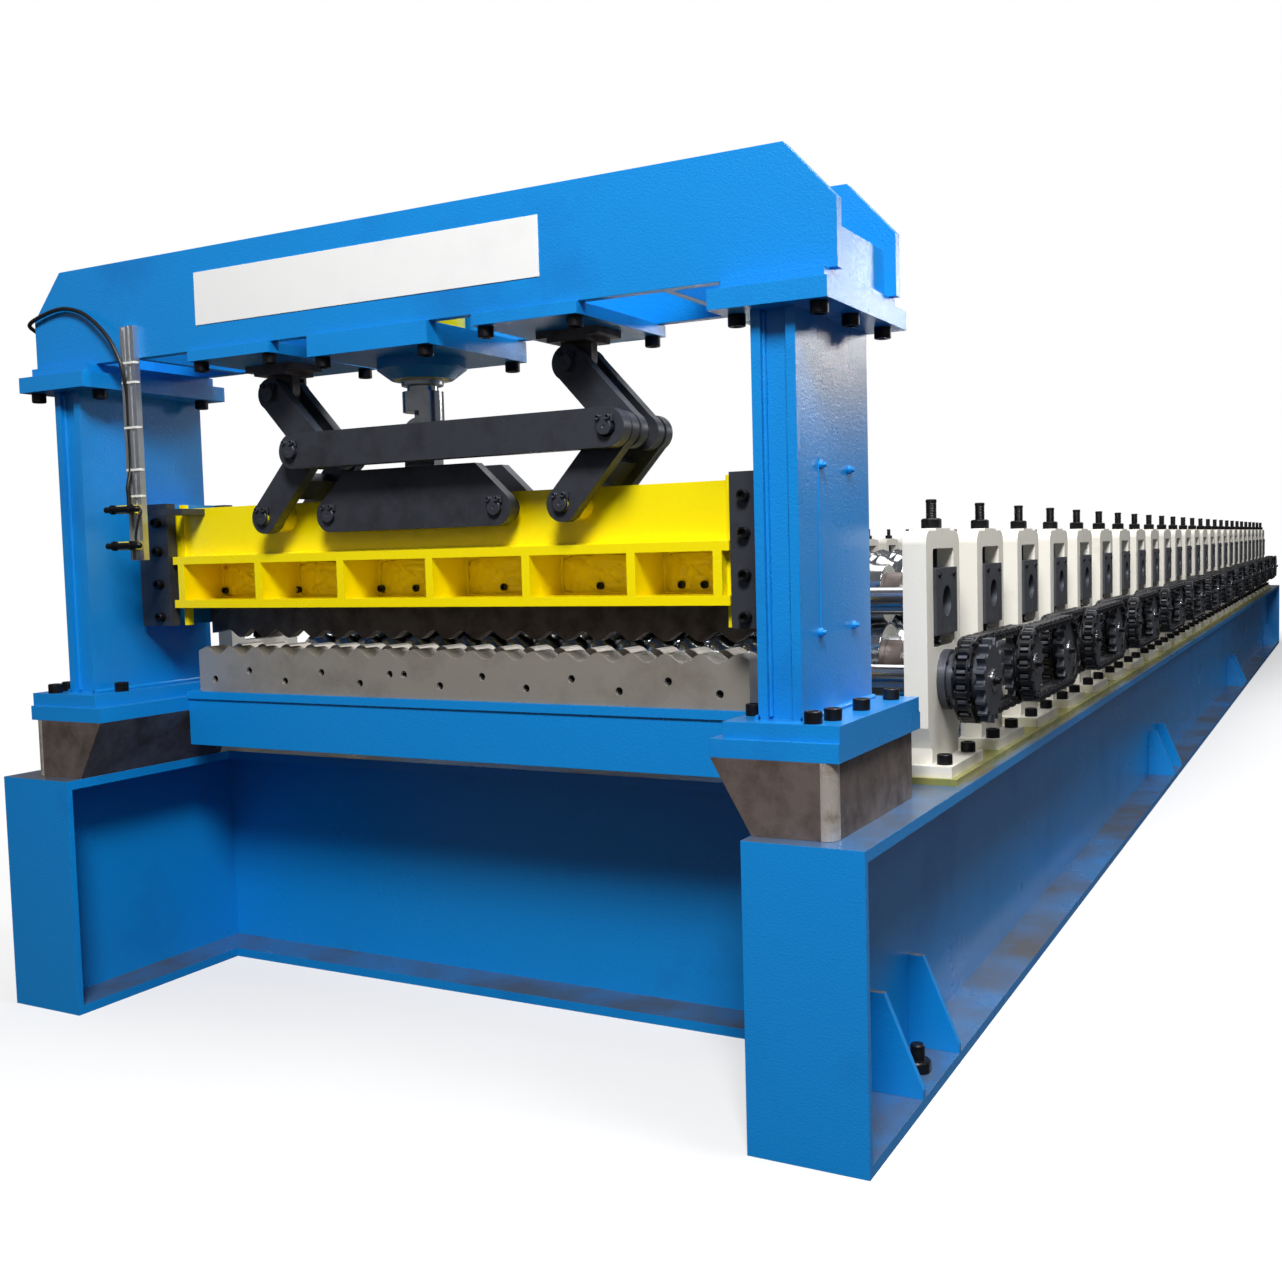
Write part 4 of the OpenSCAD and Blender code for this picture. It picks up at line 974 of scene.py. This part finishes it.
@dataclass
class PressFittings:
    """Weld beads, pocket paint, corner bars, pin keepers, cylinder gland and banner of the cut-off press."""

    finishes: Finishes
    bead: float = 5 * MM

    def build(self) -> None:
        """Makes the fittings."""
        self.column_welds()
        self.ram_welds()
        self.pocket_paint()
        self.corner_bars()
        self.pin_keepers()
        self.cylinder()
        self.banner()

    def weld(self, start: tuple[float, float, float], end: tuple[float, float, float], radius: float | None = None) -> Patch:
        """Lays a weld bead between two points.

        The section is a circle half sunk into the joint, and its radius swells and shrinks by a
        sixth at each ripple, one ripple in every five millimetres.

        Args:
            start: One end of the bead.
            end: The other end.
            radius: Mean radius of the bead.

        Returns:
            The bead's surface.
        """
        radius = radius or self.bead
        start, end = np.array(start), np.array(end)
        length = np.linalg.norm(end - start)
        count = max(8, min(300, int(length / (2.5 * MM))))
        t = np.linspace(0, 1, count)
        path = start + (end - start) * t[:, None]
        swell = radius * (1 + 0.16 * np.sin(2 * math.pi * t * length / (5 * MM)) + 0.06 * np.sin(37 * t + 5 * length))
        section = disc_points(1.0, 6)[None] * swell[:, None, None]
        up = (0, 1, 0.1) if abs((end - start)[2]) > abs((end - start)[1]) else (0.1, 0, 1)
        return sweep(path, section, up)

    def column_welds(self) -> None:
        """Beads down both recessed corners of each column, front and back."""
        front, back = NEAR_Y + 0.087, NEAR_Y + 0.373
        beads = []
        for x in (0.729, 0.768):
            for y in (front, back):
                beads.append(self.weld((x, y, 0.632), (x, y, 1.22)))
        beads.append(self.weld((0.712, NEAR_Y + 0.075, 0.63), (0.712, NEAR_Y + 0.385, 0.63)))
        beads.append(self.weld((0.785, NEAR_Y + 0.075, 0.63), (0.785, NEAR_Y + 0.385, 0.63)))
        beads.append(self.weld((0.783, NEAR_Y + 0.157, 0.745), (0.783, NEAR_Y + 0.157, 1.012), 1.4 * MM))
        beads.append(self.weld((0.652, NEAR_Y + 0.217, 0.756), (0.652, NEAR_Y + 0.217, 0.998), 3 * MM))
        make_piece("column_weld_beads", join(beads).mirrored(), self.finishes.blue, "frame", 60)

    @staticmethod
    def pockets() -> list[tuple[float, float]]:
        """Returns the left and right wall of each pocket of the ram."""
        ribs = [-0.594, *(-0.387 + 0.206 * k for k in range(5)), 0.594]
        return [(left + 9 * MM, right - 9 * MM) for left, right in zip(ribs[:-1], ribs[1:])]

    def ram_welds(self) -> None:
        """Beads along the edges of the pockets of the ram."""
        low, high, back = -0.602, 0.602, NEAR_Y + 0.304
        beads = []
        for x0, x1 in self.pockets():
            beads.append(self.weld((x0, back, 0.807), (x0, back, 0.876), 3.5 * MM))
            beads.append(self.weld((x1, back, 0.807), (x1, back, 0.876), 3.5 * MM))
            beads.append(self.weld((x0, back, 0.8065), (x1, back, 0.8065), 3.5 * MM))
        beads.append(self.weld((low, NEAR_Y + 0.2245, 0.8935), (high, NEAR_Y + 0.2245, 0.8935), 3 * MM))
        make_piece("ram_weld_beads", join(beads), self.finishes.yellow, "ram", 60)

    def pocket_paint(self) -> None:
        """Thick wrinkled paint on the back walls of the pockets.

        The skin is made of rings round each wall's middle, from nothing to a rounded rectangle. Its
        thickness is a sum of four sine waves of unlike lengths and directions, kept above zero,
        and falls to nothing at the rim.
        """
        back, low, high = NEAR_Y + 0.305, 0.807, 0.876
        rings, turns = np.linspace(0, 1, 19), np.arange(72) * 2 * math.pi / 72
        corner = lambda c: np.sign(c) * np.abs(c) ** 0.35
        skins = []
        for x0, x1 in self.pockets():
            x = (x0 + x1) / 2 + (x1 - x0) / 2 * np.outer(rings, corner(np.cos(turns)))
            z = (low + high) / 2 + (high - low) / 2 * np.outer(rings, corner(np.sin(turns)))
            waves = np.sin(210 * x + 130 * z) + np.sin(-160 * x + 310 * z + 1.2) + np.sin(420 * x - 90 * z + 2.5) + np.sin(380 * x + 460 * z)
            depth = 4.5 * MM * np.clip(0.45 + 0.25 * waves, 0.05, 1) * (1 - rings[:, None] ** 6)
            skins.append(grid(np.stack([x, back - depth, z], axis=-1)))
            rim = np.stack([x[-1], np.full(len(turns), back), z[-1]], axis=-1)
            skins.append(grid(np.stack([rim, rim * 0 + rim.mean(0) + (0, 0.5 * MM, 0)])))
        make_piece("pocket_paint_skins", join(skins), self.finishes.yellow, "ram", 80)

    def corner_bars(self) -> None:
        """Round bars at the outer front corners of the supports."""
        low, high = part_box("press_supports")
        radius, skin = 18.4 * MM, 0.4 * MM
        rows = [(low.z + skin, 0.0), (low.z + skin, radius), (high.z - skin, radius), (high.z - skin, 0.0)]
        bar = lathe(rows, 36).placed([(0.827, NEAR_Y + 0.053, 0.0)])
        make_piece("support_corner_bars", bar.mirrored(), self.finishes.bar, "frame")

    def keeper(self) -> Patch:
        """Returns a pin's end cap with the keeper strip beside it, facing +Z."""
        cap = lathe([(0, 0), (0, 12.5 * MM), (1 * MM, 13.5 * MM), (5 * MM, 13.5 * MM), (6 * MM, 12.5 * MM), (6 * MM, 3 * MM), (4 * MM, 0)], 24)
        strip = prism(np.array([(-16, 8), (16, 8), (16, 20), (-16, 20)]) * MM, 4 * MM, 0.6 * MM)
        screw = SocketScrew(6 * MM).surface().placed([(-9 * MM, 14.5 * MM, 4 * MM), (9 * MM, 14.5 * MM, 4 * MM)])
        return join([cap, strip, screw])

    def pin_keepers(self) -> None:
        """Keepers on the front end of each linkage pin, on the body that carries the pin."""
        keeper = self.keeper()
        turned = Axis.FRONT.turn()
        linkage = Linkage()
        fronts = {
            "frame": [(s * linkage.pivot_x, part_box("linkage_brackets")[0].y, linkage.pivot_z) for s in (-1, 1)],
            "ram": [(s * linkage.pivot_x, linkage.ram_pin_y, linkage.ram_pivot_z) for s in (-1, 1)]
                   + [(s * linkage.link_x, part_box("ram_link_plates")[0].y, linkage.ram_pivot_z) for s in (-1, 1)],
            "upper_arm_left": [(-linkage.pivot_x + linkage.knee_dx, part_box("upper_arm_left")[0].y, linkage.knee_z)],
            "upper_arm_right": [(linkage.pivot_x + linkage.knee_dx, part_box("upper_arm_right")[0].y, linkage.knee_z)],
        }
        for body, places in fronts.items():
            places = [(x, y + 3 * MM, z) for x, y, z in places]
            make_piece(f"pin_keepers_{body}", keeper.placed(places, turned), self.finishes.black, body)

    def cylinder(self) -> None:
        """Bright gland under the cylinder's flange."""
        y = NEAR_Y + 0.235
        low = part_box("press_cylinder")[0].z
        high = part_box("cylinder_flange")[0].z
        inner, outer, skin, round_off = 28.6 * MM, 38 * MM, 0.8 * MM, 1.5 * MM
        gland = [
            (low - skin, inner), (low - skin, outer - round_off), (low - skin + round_off, outer), (high - 3 * MM, outer),
            (high - 3 * MM, outer + 2 * MM), (high + 0.2 * MM, outer + 2 * MM), (high + 0.2 * MM, inner + 8 * MM),
            (low, inner + 8 * MM), (low, inner), (low - skin, inner),
        ]
        make_piece("cylinder_gland", lathe(gland, 36).placed([(0, y, 0)]), self.finishes.bright, "frame")

    def banner(self) -> None:
        """Bare white film plate on the front of the crosshead."""
        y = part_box("crosshead_front_plate")[0].y
        x0, x1, z0, z1 = -0.401, 0.350, 1.316, 1.412
        outline = np.array([(x0, z0), (x1, z0), (x1, z1), (x0, z1)])
        plate = prism(outline, 1.2 * MM, 0.4 * MM)
        plate = Patch(plate.points[:, [0, 2, 1]] * (1, -1, 1), plate.faces).placed([(0, y, 0)])
        make_piece("bare_banner", plate, self.finishes.film, "frame")


@dataclass
class SensorHarness:
    """Cable, ties and proximity switches on the aluminium rail."""

    finishes: Finishes
    radius: float = 4 * MM

    def route(self) -> Array:
        """Returns the listed points of the cable from the crosshead's end to the upper switch."""
        points = np.array([
            (-824.3, 200, 1320), (-845, 200, 1321), (-864, 184, 1328), (-872, 145, 1342), (-868, 105, 1355),
            (-850, 80, 1364), (-800, 78, 1378), (-750, 78, 1383), (-700, 76, 1372), (-655, 71, 1348),
            (-612, 67, 1312), (-586.5, 67, 1272), (-578.5, 69, 1242), (-578.5, 76.7, 1195), (-578.5, 76.7, 1130),
            (-578.5, 76.7, 1070), (-578.5, 67, 1030), (-578.5, 67, 1012), (-578.5, 67, 993.3),
        ])
        return points * MM + (0, NEAR_Y, 0)

    def build(self) -> None:
        """Makes the cable, the ties and the switches."""
        path = smooth_path(self.route())
        cable = make_piece("switch_cable", sweep(path, disc_points(self.radius, 12), (0.3, 1, 0.1)), self.finishes.sheath, "frame", 60)
        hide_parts("sensor_cable")
        self.ties()
        self.switches()

    def ties(self) -> None:
        """Nylon ties round the rail and the cable.

        A tie is a flat band carried along a rounded rectangle: a superellipse of power four.
        """
        low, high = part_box("sensor_rail")
        left, right = low.x - 1.2 * MM, high.x + 1.2 * MM
        front, back = low.y - 1.6 * MM, high.y - 0.6 * MM
        angle = np.linspace(0, 2 * math.pi, 49)[:-1]
        power = lambda c: np.sign(c) * np.abs(c) ** 0.3
        x = (left + right) / 2 + (right - left) / 2 * power(np.cos(angle))
        y = (front + back) / 2 + (back - front) / 2 * power(np.sin(angle))
        rings = []
        for z in (1.262, 1.225, 1.14, 1.06, 1.01):
            out = np.column_stack([x, y])
            centre = out.mean(0)
            slim = centre + (out - centre) * 0.965
            rows = [(slim, z - 2.2 * MM), (out, z - 2.2 * MM), (out, z + 2.2 * MM), (slim, z + 2.2 * MM)]
            rings.append(grid(np.stack([np.column_stack([p, np.full(len(p), h)]) for p, h in rows]), close_rows=True))
        make_piece("nylon_ties", join(rings), self.finishes.nylon, "frame", 50)

    def switches(self) -> None:
        """Round proximity switches through the yellow brackets, with lock nuts and leads."""
        low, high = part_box("sensor_switches")
        bodies, leads = [], []
        for z in (low.z + 8 * MM, high.z - 8 * MM):
            x0 = low.x - 22 * MM
            barrel = [(0, 0), (0, 5 * MM), (1 * MM, 6 * MM), (18 * MM, 6 * MM), (18 * MM, 9 * MM, 1), (22 * MM, 9 * MM, 1), (22 * MM, 6 * MM),
                      (66 * MM, 6 * MM), (66 * MM, 9 * MM, 1), (70 * MM, 9 * MM, 1), (70 * MM, 6 * MM), (88 * MM, 6 * MM), (92 * MM, 3 * MM), (92 * MM, 0)]
            bodies.append(lathe(barrel, 18).placed([(x0, low.y - 7 * MM, z)], Axis.RIGHT.turn()))
        lead = smooth_path(np.array([
            (low.x + 68 * MM, low.y - 7 * MM, high.z - 8 * MM), (low.x + 76 * MM, low.y - 9 * MM, high.z - 14 * MM),
            (low.x + 70 * MM, low.y - 12 * MM, high.z - 34 * MM), (low.x + 62 * MM, low.y - 12 * MM, low.z + 22 * MM),
            (low.x + 66 * MM, low.y - 9 * MM, low.z + 10 * MM),
        ]))
        leads.append(sweep(lead, disc_points(2.5 * MM, 8), (0, 1, 0.1)))
        make_piece("proximity_switches", join(bodies), self.finishes.screw, "frame")
        make_piece("switch_lead", join(leads), self.finishes.sheath, "frame", 60)


# Studio


@dataclass(frozen=True)
class PhotoCamera:
    """Camera of the photograph, solved from points of the base, the columns and the crosshead.

    Attributes:
        place: Lens position.
        yaw: Turn to the left of the machine's length, in radians.
        pitch: Tilt above the horizon, in radians.
        roll: Turn about the line of sight, in radians.
        focal: Focal length in pixels of the photograph.
    """

    place: tuple[float, float, float] = (1.4964, NEAR_Y - 1.7214, 0.882)
    yaw: float = 0.4967
    pitch: float = -0.0647
    roll: float = -0.0271
    focal: float = 1335.1

    def build(self) -> None:
        """Creates the camera and makes it the scene's own."""
        data = bpy.data.cameras.new("photo_camera")
        data.sensor_width = 36.0
        data.lens = self.focal / PHOTO_SIDE * data.sensor_width
        data.shift_x, data.shift_y = -0.0008, -0.0037
        data.clip_end = 200.0
        ahead = Vector((-math.sin(self.yaw) * math.cos(self.pitch), math.cos(self.yaw) * math.cos(self.pitch), math.sin(self.pitch)))
        right = Vector((math.cos(self.yaw), math.sin(self.yaw), 0.0))
        up = right.cross(ahead)
        turned = right * math.cos(self.roll) + up * math.sin(self.roll)
        upright = up * math.cos(self.roll) - right * math.sin(self.roll)
        camera = bpy.data.objects.new("photo_camera", data)
        bpy.context.scene.collection.objects.link(camera)
        camera.matrix_world = Matrix.Translation(self.place) @ Matrix((turned, upright, -ahead)).transposed().to_4x4()
        bpy.context.scene.camera = camera


@dataclass
class Studio:
    """Pale floor, white surroundings and soft lamps.

    Attributes:
        ambient: Strength of the surroundings' light on matt surfaces.
        mirrored: Strength of the surroundings in glossy reflections, dim like a large hall.
        floor_half: Half side of the floor.
        fade: Distance from the machine over which its shadow on the floor fades out.
    """

    ambient: float = 0.17
    mirrored: float = 0.16
    floor_half: float = 60.0
    fade: float = 1.6

    def build(self) -> None:
        """Creates the floor, the world and the lamps."""
        scene = bpy.context.scene
        scene.view_settings.view_transform = "Standard"
        self.world(scene)
        self.floor()
        lo, hi = CAD_BOX
        self.lamp("key_softbox", (1.7, NEAR_Y - 2.6, 4.0), (0.1, NEAR_Y + 0.1, 0.9), 1.2, 245)
        self.lamp("stand_softbox", (1.7, NEAR_Y + 0.3, 3.4), (0.85, NEAR_Y + 3.0, 0.7), 1.0, 80)
        self.lamp("side_softbox", (3.0, NEAR_Y + 6.4, 2.4), (0.8, NEAR_Y + 0.2, 1.1), 0.8, 34)
        self.lamp("ceiling_softbox", (0.5, (lo.y + hi.y) / 2, 6.0), (0.3, (lo.y + hi.y) / 2, 0.0), 6.0, 260)

    def world(self, scene: bpy.types.Scene) -> None:
        """White where the camera sees it, dim in reflections and a plain soft light elsewhere."""
        world = bpy.data.worlds.new("studio_world")
        scene.world = world
        world.use_nodes = True
        tree = world.node_tree
        tree.nodes.clear()
        rays = add_node(tree, "LightPath")
        seen = add_node(tree, "Math", {0: rays.outputs["Is Camera Ray"], 1: rays.outputs["Is Transmission Ray"]}, operation="MAXIMUM")
        matt = add_node(tree, "Background", {"Color": linear("#FFFFFF"), "Strength": self.ambient})
        glossy = add_node(tree, "Background", {"Color": linear("#F2F6FF"), "Strength": self.mirrored})
        white = add_node(tree, "Background", {"Color": linear("#FFFFFF"), "Strength": 1.0})
        light = add_node(tree, "MixShader", {0: rays.outputs["Is Glossy Ray"], 1: matt.outputs[0], 2: glossy.outputs[0]})
        mixed = add_node(tree, "MixShader", {0: seen.outputs[0], 1: light.outputs[0], 2: white.outputs[0]})
        add_node(tree, "OutputWorld", {"Surface": mixed.outputs[0]})

    def floor(self) -> None:
        """Floor that is white to the camera with a soft shadow near the machine, and grey to other rays."""
        half = self.floor_half
        mesh = bpy.data.meshes.new("floor")
        corners = np.array([(-half, -half, 0), (half, -half, 0), (half, half, 0), (-half, half, 0)], float)
        mesh.from_pydata(corners.tolist(), [], [(0, 1, 2, 3)])
        floor = bpy.data.objects.new("floor", mesh)
        bpy.context.scene.collection.objects.link(floor)
        material = bpy.data.materials.new("pale_floor")
        material.use_nodes = True
        tree = material.node_tree
        tree.nodes.clear()
        place = add_node(tree, "TexCoord").outputs["Object"]
        lo, hi = (tuple(corner) for corner in CAD_BOX)
        above = add_node(tree, "VectorMath", {0: place, 1: (lo[0], lo[1], 0.0)}, operation="MAXIMUM").outputs[0]
        nearest = add_node(tree, "VectorMath", {0: above, 1: (hi[0], hi[1], 0.0)}, operation="MINIMUM").outputs[0]
        away = add_node(tree, "VectorMath", {0: place, 1: nearest}, operation="DISTANCE").outputs["Value"]
        white_share = add_node(tree, "MapRange", {"Value": away, "From Min": 0.0, "From Max": self.fade, "To Min": 0.45, "To Max": 1.0})
        rays = add_node(tree, "LightPath")
        share = add_node(tree, "Math", {0: rays.outputs["Is Camera Ray"], 1: white_share.outputs["Result"]}, operation="MULTIPLY")
        tinted = blend(tree, rays.outputs["Is Camera Ray"], linear("#4A4A4C"), linear("#F4F4F4"))
        lit = add_node(tree, "BsdfDiffuse", {"Color": tinted})
        white = add_node(tree, "Emission", {"Color": linear("#FFFFFF"), "Strength": 1.0})
        mixed = add_node(tree, "MixShader", {0: share.outputs[0], 1: lit.outputs[0], 2: white.outputs[0]})
        add_node(tree, "OutputMaterial", {"Surface": mixed.outputs[0]})
        mesh.materials.append(material)

    def lamp(self, name: str, place: tuple[float, float, float], target: tuple[float, float, float], size: float, power: float) -> None:
        """Hangs one square soft lamp.

        Args:
            name: Name of the lamp.
            place: Where it hangs.
            target: Point that it faces.
            size: Side length.
            power: Power in watts.
        """
        data = bpy.data.lights.new(name, "AREA")
        data.size = size
        data.energy = power
        lamp = bpy.data.objects.new(name, data)
        bpy.context.scene.collection.objects.link(lamp)
        lamp.location = place
        lamp.rotation_euler = (Vector(target) - Vector(place)).to_track_quat("-Z", "Y").to_euler()


def main() -> None:
    """Dresses the machine, sub-assembly by sub-assembly."""
    logging.basicConfig(level=logging.INFO, format="%(name)s: %(message)s")
    PhotoCamera().build()
    Studio().build()
    finishes = Finishes()
    finishes.dress_nodes()
    SensorHarness(finishes).build()
    RollSet(finishes).build()
    DriveChains(finishes).build()
    StandFittings(finishes).build()
    PressFittings(finishes).build()
    Fasteners(finishes).build()


if __name__ == "__main__":
    main()
